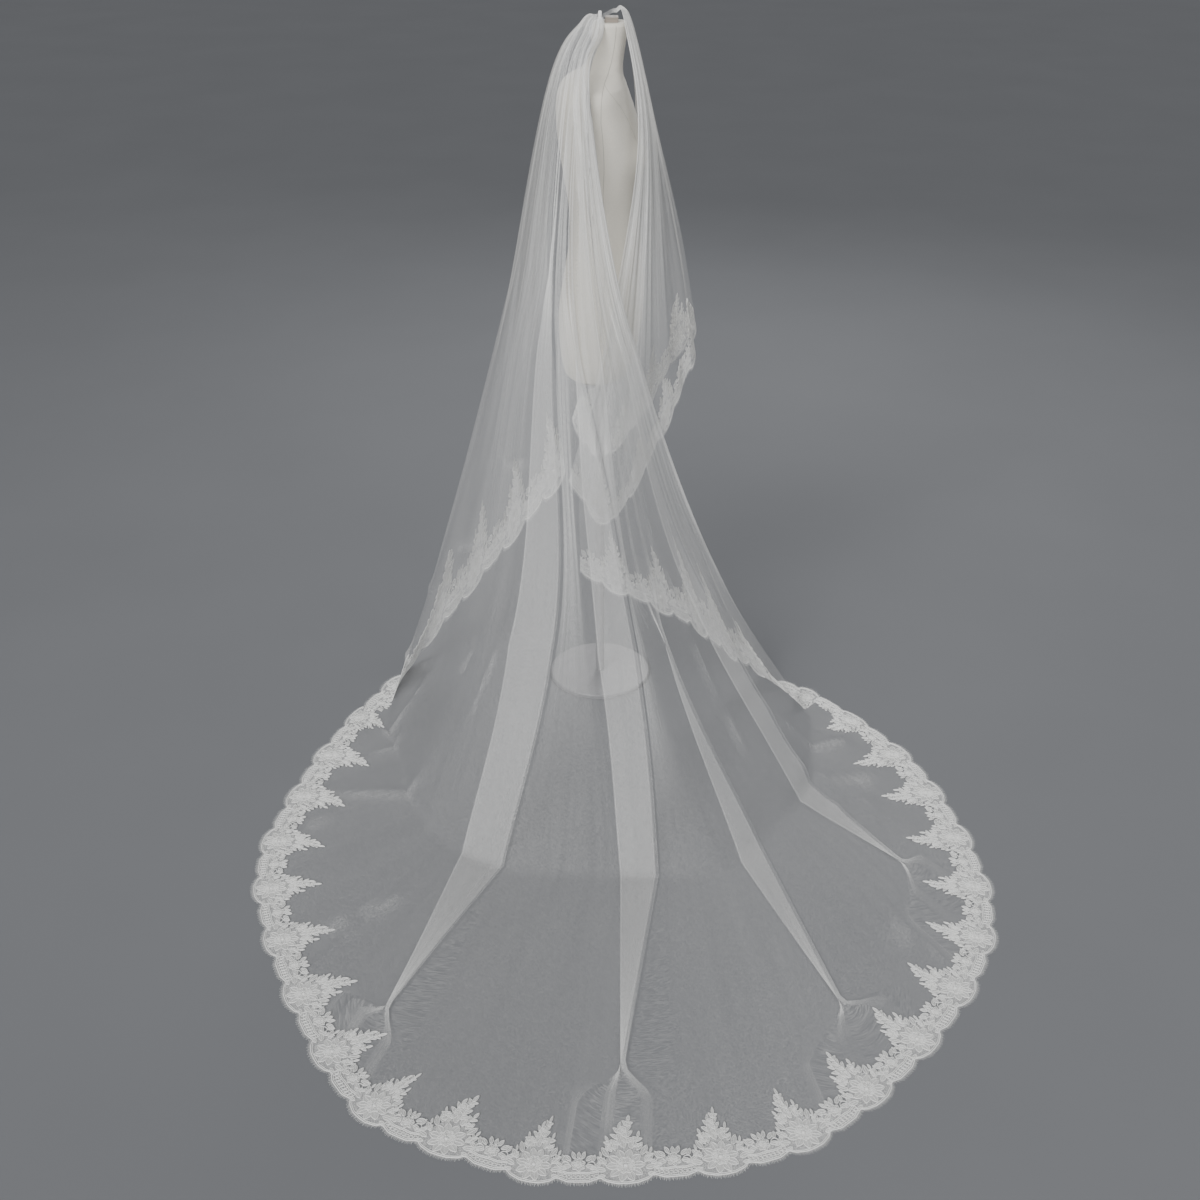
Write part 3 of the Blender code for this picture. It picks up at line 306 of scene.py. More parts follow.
# Creases on the long tier, as (fall, height) at both ends, how far they stand up and how wide
# they are. A fall is about 0.25 m wide and a height step 0.5 m long where they lie.
FALL_WIDTH = 0.25
HEIGHT_STEP = 0.50
CREASE_DENSE = 1.5
RIPPLE_LIFT = 0.0016
PLEAT_LIFT = 0.0008
SHORT_PLEAT_LIFT = 0.0013
CREASES = (
    # fall, height, fall, height, lift, half width
    (4.31, 0.75, 5.17, 1.65, 0.010, 0.016),
    (4.93, 0.47, 4.85, 1.19, 0.008, 0.014),
    (5.15, 0.19, 5.85, 1.31, 0.011, 0.018),
    (5.61, 0.22, 5.58, 0.70, 0.007, 0.013),
    (6.42, 0.36, 6.64, 0.72, 0.007, 0.012),
    (6.37, 0.20, 6.50, 0.44, 0.006, 0.012),
    (6.80, 0.15, 6.94, 0.39, 0.007, 0.013),
    (5.69, 1.70, 5.88, 1.94, -0.006, 0.013),
    (6.18, 1.50, 6.37, 2.00, 0.008, 0.014),
    (11.20, 1.44, 12.28, 0.56, 0.011, 0.016),
    (11.06, 1.25, 11.82, 0.45, 0.010, 0.017),
    (10.90, 1.02, 11.44, 0.59, 0.008, 0.013),
    (10.65, 0.43, 10.76, 0.16, 0.006, 0.010),
    (8.81, 0.25, 9.08, 0.22, 0.004, 0.008),
    (8.84, 0.19, 9.08, 0.16, 0.004, 0.008),
    (10.46, 2.49, 10.65, 2.24, 0.006, 0.008),
    (10.65, 2.24, 10.62, 1.95, 0.008, 0.009),
    (10.62, 1.95, 10.62, 1.60, 0.008, 0.009),
    (10.62, 1.60, 10.60, 1.16, 0.006, 0.008),
    (0.60, 1.70, 1.70, 2.30, 0.008, 0.020),
    (1.40, 1.35, 2.60, 1.85, -0.008, 0.020),
    (2.30, 1.30, 3.30, 1.75, 0.010, 0.018),
    (3.10, 1.12, 3.90, 1.40, 0.009, 0.016),
    (14.20, 1.40, 14.60, 2.40, 0.007, 0.018),
    (15.70, 1.50, 16.00, 2.60, -0.007, 0.018),
    (17.20, 1.40, 17.40, 2.50, 0.006, 0.018),
)

# Seams of the form's cover: lines of (angle round the form in degrees, z). The side seams come
# once on the left and once on the right.
SIDE_SEAMS = (
    ((90, 0.990), (90, 1.25), (90, 1.48), (84, 1.66), (76, 1.738), (74, 1.80), (74, 1.858)),
    ((76, 1.738), (60, 1.716), (48, 1.690), (40, 1.655), (34, 1.60), (30, 1.50), (27, 1.34),
     (30, 1.15), (32, 0.990)),
)
BACK_SEAM = ((180, 0.990), (180, 1.30), (180, 1.60), (180, 1.858))
SEAM_PROFILE = ((-0.0011, -0.0004), (-0.0006, 0.0005), (0.0006, 0.0005), (0.0011, -0.0004))
PLATE_LINES = (0.30, 0.55, 0.80)
PLATE_RADIUS = 0.0022
SHARP_ANGLE = 40
COMB_PLEATS = 46
COMB_END = 0.04

# Finishes
TULLE_WHITE = (0.90, 0.90, 0.885, 1.0)
THREAD_WHITE = (0.93, 0.93, 0.91, 1.0)
COVER_IVORY = (0.80, 0.765, 0.68, 1.0)
BLOCK_GREY = (0.34, 0.30, 0.26, 1.0)
ENAMEL_GREY = (0.22, 0.22, 0.23, 1.0)
FLOOR_GREY = (0.165, 0.17, 0.18, 1.0)
NETS = {
    # size of a mesh, how much thread and gap hide, how uneven the hiding is
    "tulle_long_net": (0.0019, 0.21, 0.030, 0.60),
    "tulle_short_net": (0.0019, 0.22, 0.030, 0.60),
    "lace_ground_net": (0.0024, 0.55, 0.12, 0.10),
}

# Studio
FLOOR_HALF = 40.0
WORLD_GREY = (0.55, 0.56, 0.58, 1.0)
WORLD_STRENGTH = 0.35
SUN_POWER = 2.9
SUN_SPREAD = 40.0
SUN_TURN = (56.0, 0.0, -24.0)
LIGHTS = (
    # name, place, target, size, power
    ("key", (-2.6, -3.0, 4.2), (0.0, -0.5, 0.7), 2.4, 60.0),
    ("fill", (3.2, -2.8, 2.6), (0.0, -0.3, 0.9), 2.6, 40.0),
    ("rim", (0.8, 3.2, 3.4), (0.0, -0.3, 0.9), 2.0, 80.0),
)


def unit(vectors):
    length = np.linalg.norm(vectors, axis=-1, keepdims=True)
    return vectors / np.maximum(length, 1e-12)


def smooth_between(read, place, last):
    """A smooth curve through the values that read gives by number, at fractional numbers."""
    first = np.clip(np.floor(place).astype(int), 0, last - 1)
    share = (place - first)[..., None]
    start, end = read(first), read(first + 1)
    is_first, is_last = (first == 0)[..., None], (first + 1 == last)[..., None]
    before = np.where(is_first, 2 * start - end, read(np.maximum(first - 1, 0)))
    after = np.where(is_last, 2 * end - start, read(np.minimum(first + 2, last)))
    return hermite(start, end, (end - before) / 2, (after - start) / 2, share)


def curve_through(rows, place):
    """A smooth curve through rows of values, read at fractional row numbers."""
    return smooth_between(lambda number: rows[number], place, len(rows) - 1)


def hermite(start, end, leave, arrive, share):
    square = share * share
    cube = square * share
    return (
        start * (2 * cube - 3 * square + 1)
        + leave * (cube - 2 * square + share)
        + end * (3 * square - 2 * cube)
        + arrive * (cube - square)
    )


def long_keys(fall):
    """The named points of a fall of the long tier, from the hem up to the comb."""
    table = np.array(LONG_FALLS)[:, ::-1, :]
    keys = curve_through(table.reshape(len(table), -1), fall)
    keys = keys.reshape(fall.shape + (6, 3))
    falls, comb_x, comb_y = np.array(LONG_COMB).T
    comb = np.empty(fall.shape + (1, 3))
    comb[..., 0, 0] = np.interp(fall, falls, comb_x)
    comb[..., 0, 1] = np.interp(fall, falls, comb_y)
    comb[..., 0, 2] = LONG_COMB_Z
    keys = np.concatenate([keys, comb], axis=-2)
    in_air = (fall <= LEFT_CORNER) | (fall >= RIGHT_CORNER)
    keys[..., HEM, :] = np.where(in_air[..., None], keys[..., FOOT, :], keys[..., HEM, :])
    keys[..., 2] = np.maximum(keys[..., 2], FLOOR)
    return keys


def pick(keys, number):
    return np.take_along_axis(keys, number[..., None, None], axis=-2)[..., 0, :]


def along_fall(keys, height):
    """The point of each fall at a height between 0, its hem, and 6, its comb."""
    last = keys.shape[-2] - 1
    first = np.clip(np.floor(height).astype(int), 0, last - 1)
    share = (height - first)[..., None]
    start = pick(keys, first)
    end = pick(keys, first + 1)
    before = pick(keys, np.maximum(first - 1, 0))
    after = pick(keys, np.minimum(first + 2, last))
    step = np.linalg.norm(end - start, axis=-1, keepdims=True)
    leave = np.where((first <= HIP)[..., None], unit(start - before) * step, (end - before) / 2)
    leave = np.where((first <= FOOT)[..., None], end - start, leave)
    arrive = np.where((first == last - 1)[..., None], end - start, (after - start) / 2)
    arrive = np.where((first < HIP)[..., None], unit(after - start) * step, arrive)
    curved = hermite(start, end, leave, arrive, share)
    point = np.where((first < FOOT)[..., None], start + (end - start) * share, curved)
    point[..., 2] = np.maximum(point[..., 2], FLOOR)
    return point


def long_base(fall, height):
    """The long tier without its gathers and flat folds."""
    return along_fall(long_keys(fall), height)


def normal_of(surface, fall, height, fall_step=0.02, height_step=0.02):
    """The outward direction of a surface of falls and heights."""
    across = surface(fall + fall_step, height) - surface(fall - fall_step, height)
    low = np.maximum(height - height_step, 0)
    up = surface(fall, height + height_step) - surface(fall, low)
    return unit(np.cross(across, up))


def bump(value, low, full_low, full_high, high):
    """0 outside low to high and 1 from full_low to full_high."""
    rise = np.clip((value - low) / (full_low - low), 0, 1)
    drop = np.clip((high - value) / (high - full_high), 0, 1)
    share = np.minimum(rise, drop)
    return share * share * (3 - 2 * share)


def gather_offset(fall, height):
    """Soft gathers: none at the comb, deepest from shoulder to hip, gone at the floor."""
    first, second = GATHERS_PER_FALL
    wave = 0.62 * np.sin(2 * math.pi * first * fall) + 0.38 * np.sin(
        2 * math.pi * second * fall + 1.1
    )
    depth = GATHER_DEPTH * bump(height, 1.2, 2.6, 3.7, 5.6)
    return depth * wave * bump(fall, -0.6, 0.8, 9.5, 11.5)


def long_surface(fall, height):
    """The long tier with its gathers."""
    out = normal_of(long_base, fall, height)
    point = long_base(fall, height) + out * gather_offset(fall, height)[..., None]
    point[..., 2] = np.maximum(point[..., 2], FLOOR)
    return point


def fold_speed(fall, level):
    """Length across the cloth for each fall, at a fall and a height."""
    step = 0.05
    here, level = np.array(float(fall)), np.array(float(level))
    reach = long_base(here + step, level) - long_base(here - step, level)
    return float(np.linalg.norm(reach)) / (2 * step)


def smooth(share):
    share = np.clip(share, 0, 1)
    return share * share * (3 - 2 * share)


def fold_state(fold, level):
    """A flat fold at a height: places across of its corners in metres, their heights, length
    for each fall, half its width in falls, and how far it has grown, from 0 to 1. It grows out
    of the flat cloth at each end."""
    fall, below, above, heights, widths = fold
    speed = fold_speed(fall, level)
    width = float(np.interp(level, heights, widths))
    opened = smooth((level - below[0] + 0.06) / (below[1] - below[0] + 0.06))
    opened = min(opened, smooth((above[1] - level) / (above[1] - above[0])))
    shut = FOLD_PLACES * width + FOLD_TURNS * FOLD_RADIUS
    flat = FOLD_FLAT_STEP * (np.arange(FOLD_CORNERS) - (FOLD_CORNERS - 1) / 2) * speed
    across = flat * (1 - opened) + shut * opened
    half = max(FOLD_CLEAR, (width / 2 + 9.5 * FOLD_RADIUS) / speed)
    return across, FOLD_HEIGHTS * FOLD_RADIUS * opened, speed, half, opened


def fold_points(fold, state, level):
    """The corners of a fold, in straight layers over the chord that it covers."""
    across, heights, speed, _, _ = state
    ends = np.array([across.min(), across.max()])
    start, end = long_surface(fold[0] + ends / speed, np.full(2, level))
    out = normal_of(long_base, np.array(float(fold[0])), np.array(level))
    share = (across - ends[0]) / (ends[1] - ends[0])
    along = unit(end - start)
    out = unit(out - along * np.dot(out, along))
    return start + (end - start) * share[:, None] + out * heights[:, None]


def runs_of(keys):
    """Length of each fall on the floor, and from there to the knee."""
    floor_run = np.linalg.norm(keys[..., FOOT, :] - keys[..., HEM, :], axis=-1)
    rise_run = np.linalg.norm(keys[..., KNEE, :] - keys[..., FOOT, :], axis=-1)
    return floor_run, rise_run


def level_at(fall, distance):
    """The height that lies at a distance up a fall from the hem."""
    floor_run, rise_run = runs_of(long_keys(fall))
    on_floor = distance / np.maximum(floor_run, 1e-6)
    above = FOOT + (distance - floor_run) / rise_run
    return np.where(distance < floor_run, on_floor, above)


def band_depth(fall):
    """Length of a fall that the lace band takes, where the edge runs aslant to the falls."""
    step = 0.02
    low = np.clip(fall - step, 0, len(LONG_FALLS) - 1)
    high = np.clip(fall + step, 0, len(LONG_FALLS) - 1)
    along = unit(long_keys(high)[..., HEM, :] - long_keys(low)[..., HEM, :])
    near = long_base(fall, level_at(fall, np.full_like(fall, 0.02, dtype=float)))
    up = unit(near - long_keys(fall)[..., HEM, :])
    aslant = np.sum(up * along, axis=-1)
    return BAND_DEPTH / np.maximum(np.sqrt(np.maximum(1 - aslant * aslant, 0)), 0.35)


def long_columns():
    """All columns of the long tier as (fall, fold number or None, corner of the fold)."""
    columns = []
    for i in range((len(LONG_FALLS) - 1) * COLUMNS_PER_FALL + 1):
        fall = i / COLUMNS_PER_FALL
        if all(abs(fall - fold[0]) >= FOLD_CLEAR for fold in FOLDS):
            columns.append((fall, None, 0))
    for number, fold in enumerate(FOLDS):
        columns += [(fold[0] + 0.001 * i, number, i) for i in range(FOLD_CORNERS)]
    return sorted(columns, key=lambda column: column[0])


def crease_lift(fall, height):
    """How far the creases stand up at a fall and a height, and how much denser they look."""
    lift = np.zeros_like(fall)
    dense = np.zeros_like(fall)
    for fall_0, height_0, fall_1, height_1, rise, half in CREASES:
        start = np.array([fall_0 * FALL_WIDTH, height_0 * HEIGHT_STEP])
        reach = np.array([fall_1 * FALL_WIDTH, height_1 * HEIGHT_STEP]) - start
        x = fall * FALL_WIDTH - start[0]
        y = height * HEIGHT_STEP - start[1]
        along = np.clip((x * reach[0] + y * reach[1]) / np.dot(reach, reach), 0, 1)
        sway = 0.35 * half * np.sin(7.0 * along + 5.0 * fall_0)
        away = np.hypot(x - along * reach[0], y - along * reach[1]) + sway
        ends = np.clip(np.minimum(along, 1 - along) * 4, 0, 1)
        share = (0.25 + 0.75 * smooth(ends)) * np.exp(-((away / half) ** 2))
        lift += rise * share
        dense += CREASE_DENSE * share**3
    return lift, dense


def ripple(fall, height):
    """Low uneven ripples over the whole tier, and the fine pleats that fan out of the comb."""
    slow = np.sin(5.1 * fall + 2.3 * np.sin(1.9 * height) + 1.0)
    slow = slow + 0.7 * np.sin(9.7 * fall - 3.1 * height + 0.6)
    fine = np.sin(16.0 * fall + 0.9 * np.sin(3.0 * height)) + 0.6 * np.sin(23.0 * fall + 2.0)
    low = RIPPLE_LIFT * slow * bump(height, 0.25, 0.9, 2.8, 4.5)
    pleats = PLEAT_LIFT * fine * bump(height, 1.3, 3.4, 4.8, 6.2)
    return low + pleats


def long_rows():
    """Heights of each row as functions of the fall, from under the lace up to the comb."""

    def low_end(fall):
        return level_at(fall, EDGE_UNDER_LACE * band_depth(fall) / BAND_DEPTH)

    def turn(fall):
        low = low_end(fall)
        return np.maximum(FOOT, low + 0.35 * (KNEE - low))

    rows = []
    for i in range(TRAIN_STEPS):
        share = i / TRAIN_STEPS
        rows.append(lambda fall, s=share: low_end(fall) * (1 - s) + turn(fall) * s)
    for i in range(LOW_STEPS):
        share = i / LOW_STEPS
        rows.append(lambda fall, s=share: turn(fall) * (1 - s) + KNEE * s)
    for height in np.linspace(KNEE, TOP, HIGH_STEPS):
        rows.append(lambda fall, h=height: np.full_like(fall, h))
    return rows


def long_row(columns, level_of):
    """Points and density of one row. Plain columns move aside where a fold is wide."""
    levels = [float(level_of(np.array([float(fold[0])]))[0]) for fold in FOLDS]
    states = [fold_state(fold, level) for fold, level in zip(FOLDS, levels)]
    plain = [0.0, *map(float, TRAIN_ENDS), float(len(LONG_FALLS) - 1)]
    moved = list(plain)
    for fold, state in zip(FOLDS, states):
        plain += [fold[0] - FOLD_CLEAR, fold[0] + FOLD_CLEAR]
        moved += [fold[0] - state[3], fold[0] + state[3]]
    falls = np.interp([column[0] for column in columns], sorted(plain), sorted(moved))
    heights = level_of(falls)
    points = long_surface(falls, heights)
    out = normal_of(long_base, falls, heights)
    dense = np.ones_like(falls)
    for number, (fold, state) in enumerate(zip(FOLDS, states)):
        here = [k for k, column in enumerate(columns) if column[1] == number]
        dense[here] = 1 + (np.array(CORNER_DENSE) - 1) * state[4]
        points[here] = fold_points(fold, state, levels[number])
        falls[here] = fold[0] + state[0] / state[2]
        heights[here] = levels[number]
    lift, creased = crease_lift(falls, heights)
    dense = dense + creased
    points = points + out * (lift + ripple(falls, heights))[:, None]
    points[:, 2] = np.maximum(points[:, 2], FLOOR)
    return points, dense


def fill_folds(columns, grid):
    """More columns where a fold's layers are wide, so that they stay flat and turn sharply.
    The turned edges look denser than the layers between them."""
    made = [grid[:, :1]]
    for k in range(1, len(columns)):
        first, second = columns[k - 1], columns[k]
        if first[1] is not None or second[1] is not None:
            layer = LAYER_DENSE if first[1] == second[1] and 0 < first[2] < 6 else 1.0
            for share in FOLD_FILL:
                column = grid[:, k - 1] * (1 - share) + grid[:, k] * share
                folded = (grid[:, k, 3] > 1.01) | (grid[:, k - 1, 3] > 1.01)
                column[:, 3] = np.where(folded, layer, 1.0)
                made.append(column[:, None])
        made.append(grid[:, k : k + 1])
    return np.concatenate(made, axis=1)


def add_object(name, data, place=(0.0, 0.0, 0.0), turn=(0.0, 0.0, 0.0)):
    thing = bpy.data.objects.new(name, data)
    bpy.context.scene.collection.objects.link(thing)
    thing.location = place
    thing.rotation_euler = turn
    return thing


def quads(rows, columns, first=0):
    """Faces between rows of points, which are numbered row by row from first."""
    a = np.arange(rows - 1)[:, None] * columns + np.arange(columns - 1)[None, :]
    a = first + a.ravel()
    return np.stack([a, a + 1, a + columns + 1, a + columns], axis=1)


def mesh_piece(name, points, faces, materials, slots=None, uv=None, gather=None):
    """A smooth mesh. On cloth, uv is the flat cloth in metres and gather how full it is."""
    mesh = bpy.data.meshes.new(name)
    mesh.from_pydata(np.asarray(points).tolist(), [], faces.tolist())
    for material in materials:
        mesh.materials.append(material)
    if slots is not None:
        mesh.polygons.foreach_set("material_index", slots.astype(np.int32))
    if uv is not None:
        layer = mesh.uv_layers.new(name="flat_cloth")
        layer.data.foreach_set("uv", uv[faces.ravel()].astype(np.float32).ravel())
        attribute = mesh.attributes.new("gather", "FLOAT", "POINT")
        attribute.data.foreach_set("value", gather.astype(np.float32).ravel())
    mesh.shade_smooth()
    return add_object(name, mesh)


def averaged(grid):
    """Each row of a grid averaged along itself."""
    kernel = np.ones(GATHER_SPAN) / GATHER_SPAN
    padded = np.pad(grid, ((0, 0), (GATHER_SPAN // 2, GATHER_SPAN // 2)), "edge")
    return np.array([np.convolve(row, kernel, "valid") for row in padded])


def sheet_mesh(name, grid, flat_width, spread_row, most, material):
    """A sheet through a grid of points, with its flat cloth as UV in metres and, as gather,
    how much wider the flat cloth is there than the room that it takes. It lies most spread
    on spread_row."""
    rows, columns = grid.shape[:2]
    points = grid[..., :3]
    steps = np.linalg.norm(np.diff(points, axis=0), axis=-1)
    lengths = np.concatenate([np.zeros((1, columns)), np.cumsum(steps, axis=0)])
    spread = np.linalg.norm(np.diff(points[spread_row], axis=0), axis=-1)
    spread = np.concatenate([[0.0], np.cumsum(spread)])
    u = np.broadcast_to(spread / spread[-1] * flat_width, (rows, columns))
    room = averaged(np.linalg.norm(np.gradient(points, axis=1), axis=-1))
    wide = averaged(np.abs(np.gradient(u, axis=1)))
    gather = np.clip(wide / np.maximum(room, 1e-6), 0.8, most) * grid[..., 3]
    uv = np.stack([u, lengths[-1:] - lengths], axis=-1).reshape(-1, 2)
    return mesh_piece(name, points.reshape(-1, 3), quads(rows, columns), [material], None, uv, gather)


def build_long_tier(material):
    columns = long_columns()
    made = [long_row(columns, level_of) for level_of in long_rows()]
    points = np.array([row[0] for row in made])
    dense = np.array([row[1] for row in made])
    grid = fill_folds(columns, np.concatenate([points, dense[..., None]], axis=-1))
    most = MOST_GATHERED["veil_long"]
    return sheet_mesh("veil_long", grid, LONG_CUT[0], TRAIN_STEPS, most, material)


def short_keys(fall):
    """The named points of a fall of the short tier, from the hem up to the comb."""
    table = np.array([[angle, *chest, *waist, *hem] for angle, chest, waist, hem in SHORT_FALLS])
    row = curve_through(table, fall)
    angle = np.radians(row[..., 0])
    keys = np.zeros(fall.shape + (6, 3))
    keys[..., 0, :] = row[..., 7:10]
    keys[..., 1, :] = row[..., 4:7]
    keys[..., 2, :] = row[..., 1:4]
    keys[..., 3, 0] = NECK_X + RIM_REACH * np.cos(angle)
    keys[..., 3, 1] = RIM_REACH * np.sin(angle)
    keys[..., 3, 2] = RIM_Z
    side = 1 - 2 * fall / (len(SHORT_FALLS) - 1)
    keys[..., 4, 0] = CREST_X
    keys[..., 4, 1] = SHORT_COMB_Y * side
    keys[..., 4, 2] = CREST_Z
    keys[..., 5, 0] = SHORT_COMB_X
    keys[..., 5, 1] = SHORT_COMB_Y * side
    keys[..., 5, 2] = SHORT_COMB_Z
    return keys


def short_base(fall, height):
    """The short tier without its waves, from height 0 at the hem to 5 at the comb."""
    shape = np.broadcast(fall, height).shape
    keys = np.broadcast_to(short_keys(fall), shape + (6, 3))
    height = np.broadcast_to(height, shape)
    return smooth_between(lambda number: pick(keys, number), height, 5)


def short_surface(fall, height):
    """The short tier with its waves, which deepen towards the hem."""
    base = short_base(fall, height)
    out = normal_of(short_base, fall, height)
    depth = SHORT_WAVE_DEPTH * np.clip((3.4 - height) / 2.6, 0, 1)
    wave = np.sin(2 * math.pi * SHORT_WAVES_PER_FALL * fall + 0.4)
    wave = 0.75 * wave + 0.25 * np.sin(2 * math.pi * 1.9 * fall)
    fine = np.sin(2 * math.pi * 2.9 * fall + 1.2 * np.sin(2.1 * height))
    fine = fine + 0.6 * np.sin(2 * math.pi * 4.3 * fall + 0.7)
    fine_depth = SHORT_PLEAT_LIFT * bump(height, 0.3, 1.2, 2.7, 4.6)
    return base + out * (depth * wave + fine_depth * fine)[..., None]


def short_reach(fall):
    keys = short_keys(fall)
    return np.linalg.norm(keys[..., 1, :] - keys[..., 0, :], axis=-1)


def build_short_tier(material):
    count = (len(SHORT_FALLS) - 1) * SHORT_COLUMNS_PER_FALL
    falls = np.arange(count + 1) / SHORT_COLUMNS_PER_FALL
    low = EDGE_UNDER_LACE / short_reach(falls)
    rows = []
    for share in np.linspace(0, 1, SHORT_STEPS):
        height = low + (5 - low) * share
        points = short_surface(falls, height)
        to_side = smooth((np.abs(falls - 5) - 2.2) / 1.5)
        bunched = 1 + SIDES_DENSE * to_side * bump(height, -1, 0, 2, 3.2)
        bunched = bunched * (1 - NECK_SHEER * bump(height, 3.2, 4.4, 5.2, 6))
        rows.append(np.concatenate([points, bunched[:, None]], axis=-1))
    most = MOST_GATHERED["veil_short"]
    return sheet_mesh("veil_short", np.array(rows), SHORT_CUT[0], 0, most, material)


def long_band(fall, share):
    """The long tier at a share of the way from its edge to the top of the lace band."""
    return long_surface(fall, level_at(fall, share * band_depth(fall)))


def short_band(fall, share):
    return short_surface(fall, share * BAND_DEPTH / short_reach(fall))


def edge_lengths(band, falls):
    """Length along the edge at each of a run of falls."""
    edge = band(falls, np.zeros_like(falls))
    steps = np.linalg.norm(np.diff(edge, axis=0), axis=-1)
    return np.concatenate([[0.0], np.cumsum(steps)])


def band_place(band, falls, lengths, along, depth):
    """Middle points and normals of lace on a hanging edge."""
    fall = np.interp(along, lengths, falls)
    share = np.maximum(depth, 0) / BAND_DEPTH
    step = 0.01
    across = band(fall + step, share) - band(fall - step, share)
    up = band(fall, share + 0.08) - band(fall, np.maximum(share - 0.08, 0))
    out = unit(np.cross(across, up))
    point = band(fall, share) + unit(up) * np.minimum(depth, 0)[..., None]
    return point, out


def floor_place(falls, lengths, along, depth):
    """Middle points and normals of lace that lies flat on the train."""
    fall = np.interp(along, lengths, falls)
    step = 0.02
    edge = long_keys(fall)[..., HEM, :]
    tangent = unit(long_keys(fall + step)[..., HEM, :] - long_keys(fall - step)[..., HEM, :])
    to_foot = long_keys(fall)[..., FOOT, :] - edge
    room = tangent[..., 0] * to_foot[..., 1] - tangent[..., 1] * to_foot[..., 0]
    depth = depth * np.clip((room - LACE_CLEAR) / LACE_DEEPEST, 0.3, 1)
    point = edge.copy()
    point[..., 0] -= tangent[..., 1] * depth
    point[..., 1] += tangent[..., 0] * depth
    point[..., 2] = WALL + SEAM + LACE / 2
    return point, np.broadcast_to([0.0, 0.0, 1.0], point.shape)


